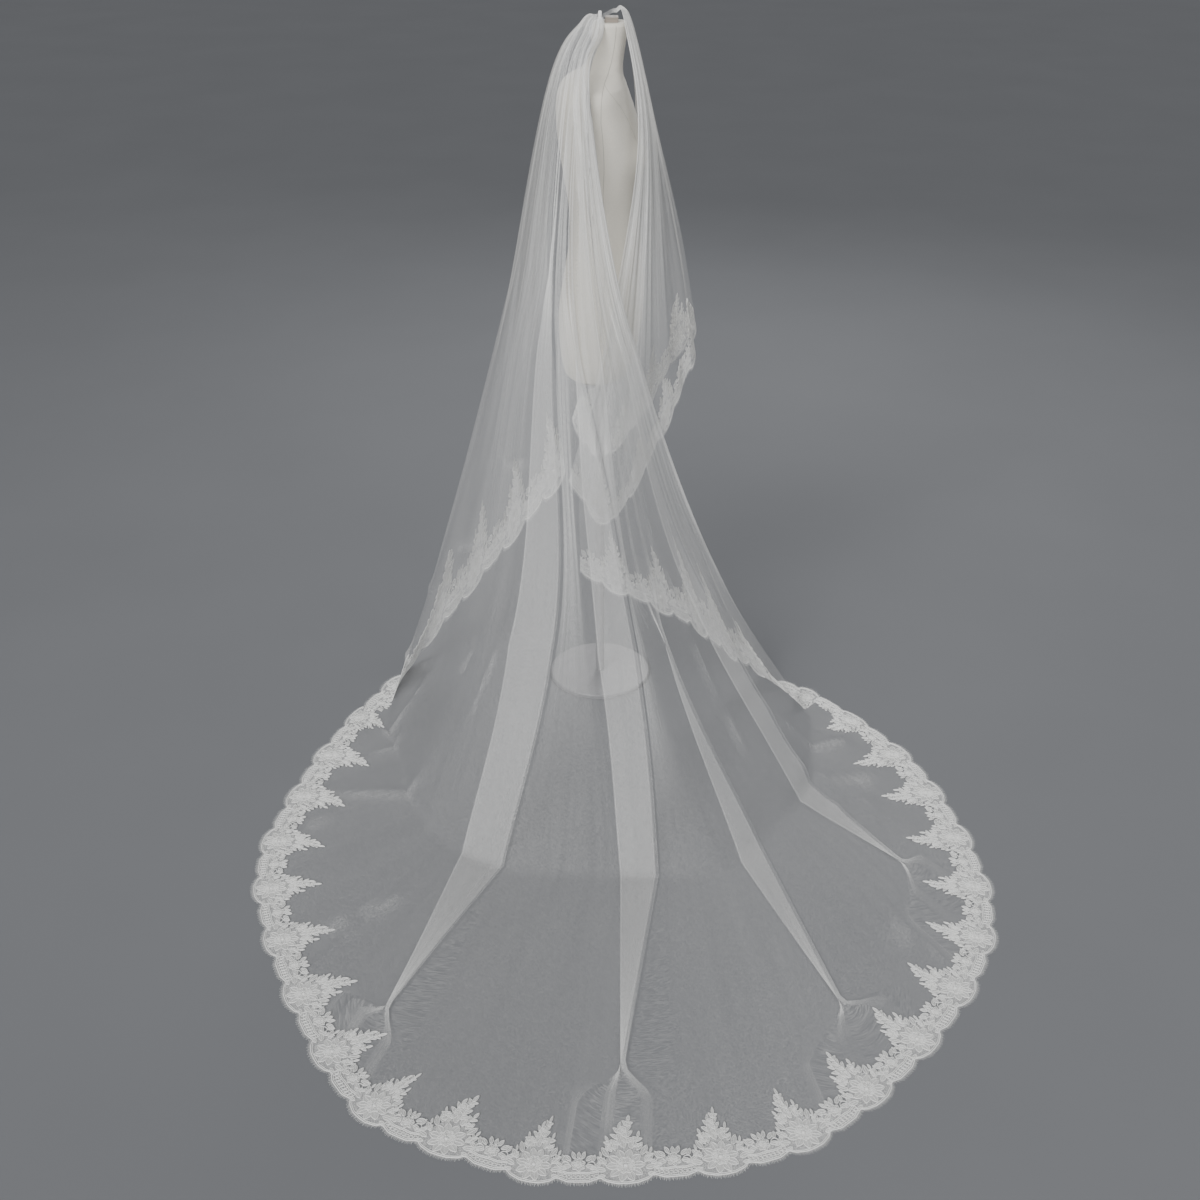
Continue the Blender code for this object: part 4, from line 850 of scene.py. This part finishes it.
class Pattern:
    """Raised work of the lace, flat: places along the edge, depths in from it and heights."""

    def __init__(self):
        self.points = []
        self.faces = []
        self.kinds = []

    def grid(self, rows, kind=0):
        """A patch through rows of points of equal count. Its kind is its material's number."""
        faces = quads(len(rows), len(rows[0]), len(self.points)).tolist()
        for row in rows:
            self.points += [tuple(point) for point in row]
        self.faces += faces
        self.kinds += [kind] * len(faces)

    def cord(self, line, width, height, closed=False):
        """A rounded cord along a line."""
        line = np.array(line, float)
        if closed:
            line = np.concatenate([line, line[:1]])
        ahead = np.gradient(line, axis=0)
        if closed:
            ahead[0] = ahead[-1] = line[1] - line[-2]
        side = unit(np.stack([-ahead[:, 1], ahead[:, 0]], axis=1))
        rows = []
        for point, aside in zip(line, side):
            row = []
            for reach, rise in ((-0.5, 0.0), (-0.27, 0.85), (0.27, 0.85), (0.5, 0.0)):
                x, y = point + aside * reach * width
                row.append((x, y, height * rise))
            rows.append(row)
        self.grid(rows)

    def leaf(self, base, tip, width, height, bend=0.0):
        """A pointed leaf or petal with a vein down its middle and a corded outline."""
        base, tip = np.array(base, float), np.array(tip, float)
        reach = tip - base
        side = np.array([-reach[1], reach[0]]) / np.hypot(*reach)
        shares = (0.0, 0.18, 0.42, 0.66, 0.86, 1.0)
        rows, left, right = [], [], []
        for share in shares:
            half = width / 2 * math.sin(math.pi * share**0.85) ** 0.8 if share < 1 else 0.0
            half = max(half, 0.0002)
            middle = base + reach * share + side * bend * math.sin(math.pi * share)
            row = []
            for place, rise in ((-1, 0.15), (-0.5, 0.62), (0, 0.30), (0.5, 0.62), (1, 0.15)):
                x, y = middle + side * half * place
                row.append((x, y, height * rise))
            rows.append(row)
            left.append(middle + side * half)
            right.append(middle - side * half)
        self.grid(rows, 2)
        self.cord(left + right[::-1], CORD * 0.85, 1.1 * height)
        self.cord([base + reach * 0.05, base + reach * 0.45 + side * bend, base + reach * 0.85],
                  CORD * 0.6, height)

    def turned_leaf(self, x, y, turn, size, slim, hand=1):
        """A leaf from a place, at a turn in degrees, mirrored where hand is -1."""
        c, s = math.cos(math.radians(turn)), math.sin(math.radians(turn))
        self.leaf((x, y), (x + hand * size * c, y + size * s), slim * size, RELIEF)

    def ring(self, x, y, radius, width, height, sides):
        turns = np.arange(sides) * 2 * math.pi / sides
        line = np.stack([x + radius * np.cos(turns), y + radius * np.sin(turns)], axis=1)
        self.cord(line, width, height, closed=True)

    def knot(self, x, y, radius, height):
        """A small dome."""
        turns = np.arange(9) * 2 * math.pi / 8
        rows = []
        for share, rise in ((1.0, 0.0), (0.7, 0.75), (0.02, 1.0)):
            rows.append(
                [(x + radius * share * math.cos(t), y + radius * share * math.sin(t), height * rise)
                 for t in turns]
            )
        self.grid(rows)

    def flower(self, x, y, radius, petals, height, turn=0.0):
        """Two rings of petals about a knot."""
        wide = 2.05 * math.pi * 0.66 / petals
        rings = (
            # petals, turn, start, end and width of a petal in radii, height
            (petals, turn, 0.36, 1.0, wide, height),
            (petals - 2, turn + 0.4, 0.14, 0.52, 0.36, 1.25 * height),
        )
        for count, turned, start, end, width, rise in rings:
            for i in range(count):
                angle = turned + 2 * math.pi * i / count
                c, s = radius * math.cos(angle), radius * math.sin(angle)
                inner, outer = (x + start * c, y + start * s), (x + end * c, y + end * s)
                self.leaf(inner, outer, width * radius, rise)
        self.knot(x, y, 0.13 * radius, 1.5 * height)

    def spray(self, line, leaf_length, leaf_width, pairs, height, shrink=0.55):
        """A stem with pairs of leaves and one at its tip."""
        line = np.array(line, float)
        shares = np.linspace(0, 1, len(line))

        def along(share):
            return np.stack([np.interp(share, shares, line[:, k]) for k in (0, 1)], axis=-1)

        self.cord(along(np.linspace(0, 1, 3 * len(line))), CORD, height)
        for i in range(pairs):
            share = (i + 0.6) / (pairs + 0.3)
            point = along(share)
            ahead = along(share + 0.05) - point
            ahead = ahead / np.hypot(*ahead)
            side = np.array([-ahead[1], ahead[0]])
            size = 1 - shrink * share
            for hand in (-1, 1):
                tip = point + (0.72 * ahead + 0.70 * hand * side) * leaf_length * size
                bend = -0.10 * hand * leaf_length
                self.leaf(point, tip, leaf_width * size, height, bend)
        ahead = line[-1] - line[-2]
        tip = line[-1] + ahead / np.hypot(*ahead) * leaf_length * 0.9
        self.leaf(line[-1], tip, leaf_width * 0.7, height)


def edge_depth(table, place):
    """Depth of the lace's outer or inner edge at a share of a repeat."""
    places = [0.0, *(share for share, _ in table), 1.0]
    depths = [table[0][1], *(depth for _, depth in table), table[0][1]]
    return np.interp(place, places, depths)


def edge_work(work):
    """Cords, knots and the eyelash fringe along the scalloped edge."""
    places = np.linspace(0, 1, 61)
    edge = np.stack([places * REPEAT, edge_depth(SCALLOPS, places) + 0.0008], axis=1)
    work.cord(edge, 0.0022, RELIEF)
    work.cord(edge + np.array([0, 0.0036]), CORD, 0.8 * RELIEF)
    for i in range(LASHES):
        x = (i + 0.5) / LASHES * REPEAT
        y = float(edge_depth(SCALLOPS, x / REPEAT))
        reach = LASH * (0.75 + 0.25 * math.sin(2.3 * i))
        lean = 0.0008 * math.sin(1.7 * i)
        root = [(x - 0.00045, y, 0.0003), (x + 0.00045, y, 0.0003)]
        tip = [(x + lean - 0.0002, y - reach, 0.0002), (x + lean + 0.0002, y - reach, 0.0002)]
        work.grid([root, tip])


def flower_scallop(work, middle):
    """The large flower, with a crown of leaves that ends in two prongs."""
    work.flower(middle, FLOWER_DEPTH, FLOWER_RADIUS, 10, 1.2 * RELIEF)
    for side, depth, turn, size in FLOWER_LEAVES:
        work.turned_leaf(middle + side * REPEAT, depth, turn, size, 0.46)
    for line, pairs, size in CROWN_SPRAYS:
        places = [(middle + side * REPEAT, depth) for side, depth in line]
        work.spray(places, size, 0.46 * size, pairs, RELIEF, 0.30)


def ring_scallop(work, start, length):
    """A ladder of windows under a double cord, with a small flower, leaves and curls above."""
    turns = np.linspace(0, 1, 33)
    x = start + length * turns
    low = edge_depth(SCALLOPS, x / REPEAT % 1.0) + 0.0036
    rise = np.sin(math.pi * turns)
    for lift in (0.0, 0.0032):
        work.cord(np.stack([x, low + 0.0125 + 0.0040 * rise + lift], axis=1), CORD * 1.25, RELIEF)
    for i in range(WINDOWS + 1):
        share = i / WINDOWS
        at = start + length * share
        foot = float(edge_depth(SCALLOPS, at / REPEAT % 1.0)) + 0.0036
        top = foot + 0.0125 + 0.0040 * math.sin(math.pi * share)
        work.cord([(at, foot), (at, (foot + top) / 2), (at, top)], CORD, RELIEF)
        if i < WINDOWS:
            at += length / WINDOWS / 2
            work.ring(at, (foot + top) / 2, 0.0036, 0.8 * CORD, 0.8 * RELIEF, 12)
    middle = start + length / 2
    work.flower(middle, 0.0500, 0.0160, 7, RELIEF, 0.3)
    for hand in (-1, 1):
        curl = np.linspace(0, 4.6, 20)
        size = 0.0115 * (1 - curl / 6.4)
        x = middle + hand * (0.0300 - size * np.cos(curl))
        work.cord(np.stack([x, 0.0475 + size * np.sin(curl)], axis=1), CORD * 1.2, RELIEF)
        for side, depth, turn, size in RING_LEAVES:
            work.turned_leaf(middle + hand * side * REPEAT, depth, turn, size, 0.48, hand)
    work.leaf((middle, 0.0640), (middle + 0.001, 0.0800), 0.0085, RELIEF)


def repeat_pattern():
    """One repeat of the border, REPEAT long: a flower scallop and a ring scallop."""
    work = Pattern()
    edge_work(work)
    flower_scallop(work, FLOWER_PLACE * REPEAT)
    ring_scallop(work, 0.555 * REPEAT, 0.43 * REPEAT)
    return np.array(work.points), np.array(work.faces), np.array(work.kinds)


def net_strip(repeats):
    """The close net that the raised work stands on, from the scallops in to the crown."""
    places = np.linspace(0, repeats, 60 * repeats + 1)
    outer = edge_depth(SCALLOPS, places % 1.0) + 0.0008
    outer[-1] = outer[0]
    inner = edge_depth(CROWN, places % 1.0)
    inner[-1] = inner[0]
    rows = [outer * (1 - s) + inner * s for s in np.linspace(0, 1, 9)]
    return places * REPEAT, np.array(rows)


def build_border(name, place, start, repeats, stretch, materials):
    """A run of the lace border, put on the cloth by place. stretch fits whole repeats in."""
    points, faces, kinds = REPEAT_WORK
    along = np.concatenate([points[:, 0] + REPEAT * (start + i) for i in range(repeats)])
    depth = np.tile(points[:, 1], repeats)
    rise = np.tile(points[:, 2], repeats)
    all_faces = np.concatenate([faces + i * len(points) for i in range(repeats)])
    strip_along, strip_rows = net_strip(repeats)
    strip = quads(len(strip_rows), len(strip_along), len(along))
    along = np.concatenate([along, np.tile(strip_along + REPEAT * start, len(strip_rows))])
    depth = np.concatenate([depth, strip_rows.ravel()])
    rise = np.concatenate([rise, np.zeros(strip_rows.size)])
    middle, out = place(along * stretch, depth)
    where = middle + out * (rise + LACE_LIFT)[:, None]
    where[:, 2] = np.maximum(where[:, 2], FLOOR)
    every = np.concatenate([all_faces, strip])
    slots = np.concatenate([np.tile(kinds, repeats), np.ones(len(strip), np.int64)])
    uv = np.stack([along * stretch, depth], axis=-1)
    gather = np.ones(len(where))
    piece = mesh_piece(f"border_{name}", where, every, materials, slots, uv, gather)
    settle(piece, [f"lace_{name}"])
    return piece


def settle(piece, nodes):
    """The piece rides on the frame and stands for its nodes."""
    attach(piece, "root")
    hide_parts(*nodes)


def build_borders(materials):
    """All pieces of the border, those of the long tier and those of the short one."""
    pieces = {"long": [], "short": []}
    for tier, first, last, counts, names in LACE_RUNS:
        band = long_band if tier == "long" else short_band
        falls = np.linspace(first, last, EDGE_SAMPLES[tier])
        lengths = edge_lengths(band, falls)
        stretch = lengths[-1] / sum(counts) / REPEAT
        on_floor = names[0].startswith("train")

        def place(along, depth):
            along = np.clip(along, 0, lengths[-1])
            if on_floor:
                return floor_place(falls, lengths, along, depth)
            return band_place(band, falls, lengths, along, depth)

        for name, start, count in zip(names, np.cumsum((0, *counts)), counts):
            pieces[tier].append(build_border(name, place, start, count, stretch, materials))
    return pieces["long"], pieces["short"]


def torso_row(z):
    """Back, front and half width of the torso at each height z, on a smooth curve."""
    table = np.array(TORSO_RINGS)
    return curve_through(table[:, 1:], np.interp(z, table[:, 0], np.arange(len(table))))


def torso_point(angle, z, out=0.0):
    """A point on the torso at an angle round it and a height, moved out a little."""
    back, front, half_width = np.moveaxis(torso_row(z), -1, 0)
    power = 2 / OVAL_POWER
    c, s = np.cos(angle), np.sin(angle)
    x = (back + front) / 2 + ((front - back) / 2 + out) * np.sign(c) * np.abs(c) ** power
    y = (half_width + out) * np.sign(s) * np.abs(s) ** power
    side = np.exp(-(((np.abs(y) - BUST_Y) / BUST_SPREAD) ** 2))
    height = np.exp(-(((z - BUST_Z) / BUST_SPREAD) ** 2))
    x = x + np.where(c > 0, BUST_DEPTH * side * height, 0)
    return np.stack([x, y, z * np.ones_like(x)], axis=-1)


def closed_tube(name, rings, material):
    """A tube through rings of points, its ends closed."""
    rings = np.array(rings)
    count, sides = rings.shape[:2]
    mesh = bpy.data.meshes.new(name)
    faces = [tuple(range(sides))[::-1], tuple(range((count - 1) * sides, count * sides))]
    for j in range(count - 1):
        for k in range(sides):
            a = j * sides + k
            b = j * sides + (k + 1) % sides
            faces.append((a, b, b + sides, a + sides))
    mesh.from_pydata(rings.reshape(-1, 3).tolist(), [], faces)
    work = bmesh.new()
    work.from_mesh(mesh)
    bmesh.ops.recalc_face_normals(work, faces=work.faces)
    work.to_mesh(mesh)
    work.free()
    mesh.shade_smooth()
    mesh.set_sharp_from_angle(angle=math.radians(SHARP_ANGLE))
    mesh.materials.append(material)
    return add_object(name, mesh)


def build_torso(cover):
    angles = np.arange(128) * 2 * math.pi / 128
    ring_heights = [row[0] for row in TORSO_RINGS]
    heights = np.linspace(ring_heights[0], ring_heights[-1], 150)
    heights = np.unique(np.concatenate([ring_heights, heights]))
    rings = [torso_point(angles, np.full_like(angles, z)) for z in heights]
    settle(closed_tube("form_cover", rings, cover), ["form_torso"])


def build_seams(material):
    """Thin raised bands along the seam lines of the cover."""
    lines = [[(hand * turn, z) for turn, z in line] for line in SIDE_SEAMS for hand in (-1, 1)]
    points, faces = [], []
    for line in [*lines, BACK_SEAM]:
        line = np.array(line, float)
        numbers = np.arange(len(line))
        shares = np.linspace(0, len(line) - 1, 24 * (len(line) - 1) + 1)
        angle = np.radians(np.interp(shares, numbers, line[:, 0]))
        z = np.interp(shares, numbers, line[:, 1])
        middle = torso_point(angle, z)
        out = unit(torso_point(angle, z, 0.01) - middle)
        side = unit(np.cross(unit(np.gradient(middle, axis=0)), out))
        faces.append(quads(len(SEAM_PROFILE), len(middle), len(points)))
        for reach, rise in SEAM_PROFILE:
            points += (middle + side * reach + out * rise).tolist()
    seams = mesh_piece("form_seams", points, np.concatenate(faces), [material])
    settle(seams, ["form_torso"])


def build_neck_plate(material):
    """The block on the neck, with the faint lines between its layers."""
    low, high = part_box("form_neck_block")
    rings = []
    for share in np.linspace(0, 1, 60):
        z = low.z + (high.z - low.z) * share
        draw = 0.0004 if any(abs(share - place) < 0.03 for place in PLATE_LINES) else 0.0
        draw += 0.0009 * max(0.0, 1 - min(share, 1 - share) / 0.05)
        rings.append(rounded_box((low.x, low.y), (high.x, high.y), PLATE_RADIUS, draw, z))
    settle(closed_tube("neck_plate", rings, material), ["form_neck_block"])


def rounded_box(low, high, radius, draw, z):
    """A ring of a box with rounded corners, drawn in a little."""
    points = []
    corners = (
        # x, y, turn in degrees at which the corner starts
        (high[0], high[1], 0),
        (low[0], high[1], 90),
        (low[0], low[1], 180),
        (high[0], low[1], 270),
    )
    for x, y, start in corners:
        cx = x - math.copysign(radius, x - (low[0] + high[0]) / 2)
        cy = y - math.copysign(radius, y - (low[1] + high[1]) / 2)
        for i in range(6):
            angle = math.radians(start + 18 * i)
            reach = radius - draw
            points.append((cx + reach * math.cos(angle), cy + reach * math.sin(angle), z))
    return points


def build_comb(material):
    """The bound strip over the comb, with the small pleats of the gathered cloth."""
    low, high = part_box("comb_band")
    middle = (low + high) / 2
    half_x = (high.x - low.x) / 2
    half_z = (high.z - low.z) / 2
    turns = np.arange(40) * 2 * math.pi / 40
    rings = []
    for share in np.linspace(0, 1, 241):
        y = low.y + (high.y - low.y) * share
        from_end = min(1.0, min(share, 1 - share) / COMB_END)
        end = math.sqrt(1 - (1 - from_end) ** 2)
        wave = 2 * math.pi * COMB_PLEATS * share
        pleat = 0.06 * math.sin(wave + 0.8 * math.sin(31 * share))
        size = max(0.15, end) * (0.94 + pleat)
        c, s = np.cos(turns), np.sin(turns)
        x = middle.x + half_x * size * np.sign(c) * np.abs(c) ** 0.5
        z = middle.z + half_z * (0.55 + 0.45 * size) * np.sign(s) * np.abs(s) ** 0.35
        rings.append(np.stack([x, np.full_like(x, y), z], axis=-1))
    settle(closed_tube("comb_gathers", rings, material), ["comb_band"])


def add_node(tree, kind, inputs=None, **settings):
    """A node with its properties and with values for its inputs, by name or number."""
    node = tree.nodes.new(kind)
    for name, value in settings.items():
        setattr(node, name, value)
    for name, value in (inputs or {}).items():
        node.inputs[name].default_value = value
    return node


def join(tree, node, name, value):
    """Gives a node's input a socket."""
    tree.links.new(value, node.inputs[name])
    return node.outputs[0]


def math_node(tree, operation, first, second=None):
    """A math node. Each value is a number or a socket."""
    node = add_node(tree, "ShaderNodeMath", operation=operation)
    for i, value in enumerate((first, second)):
        if isinstance(value, (int, float)):
            node.inputs[i].default_value = value
        elif value is not None:
            tree.links.new(value, node.inputs[i])
    return node.outputs[0]


def ranged(tree, value, low, high, to_low=0.0, to_high=1.0):
    ends = {1: low, 2: high, 3: to_low, 4: to_high}
    return join(tree, add_node(tree, "ShaderNodeMapRange", ends), 0, value)


def stretched(tree, socket, scale):
    return join(tree, add_node(tree, "ShaderNodeMapping", {"Scale": scale}), "Vector", socket)


def noise(tree, vector, scale, detail=2.0, roughness=0.5):
    values = {"Scale": scale, "Detail": detail, "Roughness": roughness}
    return join(tree, add_node(tree, "ShaderNodeTexNoise", values), "Vector", vector)


def bump_by(tree, shader, height, strength, distance):
    node = add_node(tree, "ShaderNodeBump", {"Strength": strength, "Distance": distance})
    tree.links.new(join(tree, node, "Height", height), shader.inputs["Normal"])


def tinted(tree, shader, value, colour, share):
    """Base colour between a darker share of a colour and the colour itself."""
    node = add_node(tree, "ShaderNodeMix", data_type="RGBA")
    dark, light = [socket for socket in node.inputs if socket.type == "RGBA"]
    dark.default_value = darker(colour, share)
    light.default_value = colour
    tree.links.new(value, node.inputs[0])
    result = [socket for socket in node.outputs if socket.type == "RGBA"][0]
    tree.links.new(result, shader.inputs["Base Color"])


def darker(colour, share):
    return tuple(channel * share for channel in colour[:3]) + (1.0,)


def plain_material(name, colour, roughness, sheen=0.0, gloss=0.5):
    material = bpy.data.materials.new(name)
    material.use_nodes = True
    tree = material.node_tree
    shader = tree.nodes["Principled BSDF"]
    values = {"Base Color": colour, "Roughness": roughness, "Specular IOR Level": gloss}
    values |= {"Sheen Weight": sheen, "Sheen Roughness": 0.4}
    for socket, value in values.items():
        shader.inputs[socket].default_value = value
    return material, tree, shader


def coordinates(tree, kind):
    return add_node(tree, "ShaderNodeTexCoord").outputs[kind]


def net_material(name):
    """Sheer net. Each layer hides little; gathered cloth hides more, in streaks along it."""
    cell, thread, gap, streaks = NETS[name]
    material, tree, shader = plain_material(name, TULLE_WHITE, 0.55, 0.35, 0.3)
    uv = coordinates(tree, "UV")
    gather = add_node(tree, "ShaderNodeAttribute", attribute_name="gather").outputs["Fac"]
    cells = {"Scale": 1 / cell, "Randomness": 0.85}
    cells = add_node(tree, "ShaderNodeTexVoronoi", cells, feature="DISTANCE_TO_EDGE")
    net = ranged(tree, join(tree, cells, "Vector", uv), 0.06, 0.16, thread, gap)
    pleats = noise(tree, stretched(tree, uv, (75.0, 1.1, 1.0)), 1.0, 3.0, 0.6)
    broad = noise(tree, stretched(tree, uv, (7.0, 1.6, 1.0)), 1.0, 2.0)
    fullness = ranged(tree, gather, 1.0, 5.0, 0.18, 1.0)
    swing = ranged(tree, pleats, 0.30, 0.70, -streaks, streaks)
    streak = math_node(tree, "ADD", math_node(tree, "MULTIPLY", swing, fullness), 1.0)
    patch = ranged(tree, broad, 0.30, 0.70, 0.88, 1.12)
    layer = math_node(tree, "MULTIPLY", net, math_node(tree, "MULTIPLY", streak, patch))
    layer = math_node(tree, "MINIMUM", layer, 0.97)
    gathered = math_node(tree, "POWER", gather, 0.85)
    clear = math_node(tree, "POWER", math_node(tree, "SUBTRACT", 1.0, layer), gathered)
    tree.links.new(math_node(tree, "SUBTRACT", 1.0, clear), shader.inputs["Alpha"])
    tinted(tree, shader, streak, TULLE_WHITE, 0.90)
    bump_by(tree, shader, math_node(tree, "ADD", net, pleats), 0.35, 0.0006)
    return material


def thread_material():
    """Corded embroidery: twisted thread with a low shine."""
    material, tree, shader = plain_material("corded_thread", THREAD_WHITE, 0.5, 0.3, 0.45)
    place = coordinates(tree, "Object")
    fine = noise(tree, place, 1500.0, 2.0)
    broad = noise(tree, place, 60.0, 2.0)
    tinted(tree, shader, ranged(tree, fine, 0.3, 0.7), THREAD_WHITE, 0.80)
    tree.links.new(ranged(tree, broad, 0.3, 0.7, 0.42, 0.62), shader.inputs["Roughness"])
    bump_by(tree, shader, fine, 0.6, 0.0004)
    return material


def fill_material():
    """The lightly filled inside of petals and leaves, ribbed and partly see-through."""
    material, tree, shader = plain_material("petal_fill", darker(THREAD_WHITE, 0.94), 0.6, 0.3, 0.3)
    uv = coordinates(tree, "UV")
    ribs = noise(tree, uv, 900.0, 2.0)
    tree.links.new(ranged(tree, ribs, 0.38, 0.62, 0.22, 0.72), shader.inputs["Alpha"])
    tinted(tree, shader, ribs, THREAD_WHITE, 0.80)
    bump_by(tree, shader, ribs, 0.5, 0.0004)
    return material


def cover_material(name, shade, grain):
    """Smooth ivory jersey over the form, with its fine ribs."""
    colour = darker(COVER_IVORY, shade)
    material, tree, shader = plain_material(name, colour, 0.75, 0.25, 0.25)
    place = coordinates(tree, "Object")
    ribs = noise(tree, stretched(tree, place, (1.0, 1.0, 0.22)), grain, 2.0)
    cloud = noise(tree, stretched(tree, place, (1.0, 1.0, 0.35)), 9.0, 3.0)
    fine, broad = math_node(tree, "MULTIPLY", ribs, 0.55), math_node(tree, "MULTIPLY", cloud, 0.45)
    both = math_node(tree, "ADD", fine, broad)
    tinted(tree, shader, ranged(tree, both, 0.35, 0.65), colour, 0.88)
    bump_by(tree, shader, ribs, 0.35, 0.0005)
    return material


def satin_material():
    """The bound strip on the comb."""
    material, tree, shader = plain_material("satin_binding", TULLE_WHITE, 0.42, 0.3, 0.5)
    place = coordinates(tree, "Object")
    threads = noise(tree, stretched(tree, place, (1.0, 6.0, 0.4)), 700.0, 2.0)
    tinted(tree, shader, ranged(tree, threads, 0.3, 0.7), TULLE_WHITE, 0.82)
    bump_by(tree, shader, threads, 0.5, 0.0004)
    return material


def hard_material(name, colour, roughness, scale):
    """Moulded or enamelled surface with a faint orange peel and wear."""
    material, tree, shader = plain_material(name, colour, roughness)
    place = coordinates(tree, "Object")
    peel = noise(tree, place, scale, 3.0)
    wear = noise(tree, place, scale / 12, 4.0, 0.65)
    tinted(tree, shader, ranged(tree, wear, 0.35, 0.7), colour, 0.86)
    uneven = ranged(tree, peel, 0.3, 0.7, roughness * 0.85, roughness * 1.2)
    tree.links.new(uneven, shader.inputs["Roughness"])
    bump_by(tree, shader, peel, 0.15, 0.0004)
    return material


def floor_material():
    material, tree, shader = plain_material("floor_paint", FLOOR_GREY, 0.8, 0.0, 0.2)
    place = coordinates(tree, "Object")
    cloud = noise(tree, place, 1.4, 3.0)
    tinted(tree, shader, ranged(tree, cloud, 0.3, 0.7), FLOOR_GREY, 0.96)
    return material


def build_floor():
    corners = [(x, y, 0) for y in (-FLOOR_HALF, FLOOR_HALF) for x in (-FLOOR_HALF, FLOOR_HALF)]
    mesh_piece("studio_floor", corners, quads(2, 2), [floor_material()])


def build_camera():
    camera = bpy.data.cameras.new("photo_camera")
    camera.lens = CAMERA_LENS
    camera.sensor_width = SENSOR_WIDTH
    turn = (math.radians(CAMERA_TILT), 0.0, 0.0)
    bpy.context.scene.camera = add_object("photo_camera", camera, CAMERA_PLACE, turn)


def build_studio():
    """An even grey world, a soft sun and three soft square lights."""
    world = bpy.data.worlds.new("studio")
    world.use_nodes = True
    background = world.node_tree.nodes["Background"]
    background.inputs["Color"].default_value = WORLD_GREY
    background.inputs["Strength"].default_value = WORLD_STRENGTH
    bpy.context.scene.world = world
    for name, place, target, size, power in LIGHTS:
        light = bpy.data.lights.new(name, "AREA")
        light.size = size
        light.energy = power
        x, y, z = np.array(place) - np.array(target)
        turn = (math.atan2(math.hypot(x, y), z), 0.0, math.atan2(y, x) + math.pi / 2)
        add_object(name, light, place, turn)
    sun = bpy.data.lights.new("sun", "SUN")
    sun.energy = SUN_POWER
    sun.angle = math.radians(SUN_SPREAD)
    add_object("sun", sun, turn=[math.radians(turn) for turn in SUN_TURN])


REPEAT_WORK = repeat_pattern()


def main():
    build_camera()
    build_floor()
    build_studio()
    long_tier = build_long_tier(net_material("tulle_long_net"))
    nodes = [f"long_tier_{side}" for side in ("back", "left", "middle", "right", "under")]
    nodes += [f"train_{side}" for side in ("left", "middle", "right")]
    settle(long_tier, nodes)
    short_tier = build_short_tier(net_material("tulle_short_net"))
    nodes = [f"short_tier_{side}" for side in ("far", "front", "near")]
    settle(short_tier, nodes)
    lace = [thread_material(), net_material("lace_ground_net"), fill_material()]
    long_lace, short_lace = build_borders(lace)
    build_torso(cover_material("ivory_jersey", 1.0, 900.0))
    build_seams(cover_material("seam_thread", 0.72, 2200.0))
    build_neck_plate(hard_material("block_board", BLOCK_GREY, 0.55, 260.0))
    build_comb(satin_material())
    enamel = hard_material("stand_enamel_coat", ENAMEL_GREY, 0.38, 320.0)
    for node in ("stand_base", "stand_pole"):
        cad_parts[node].data.materials.clear()
        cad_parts[node].data.materials.append(enamel)


main()
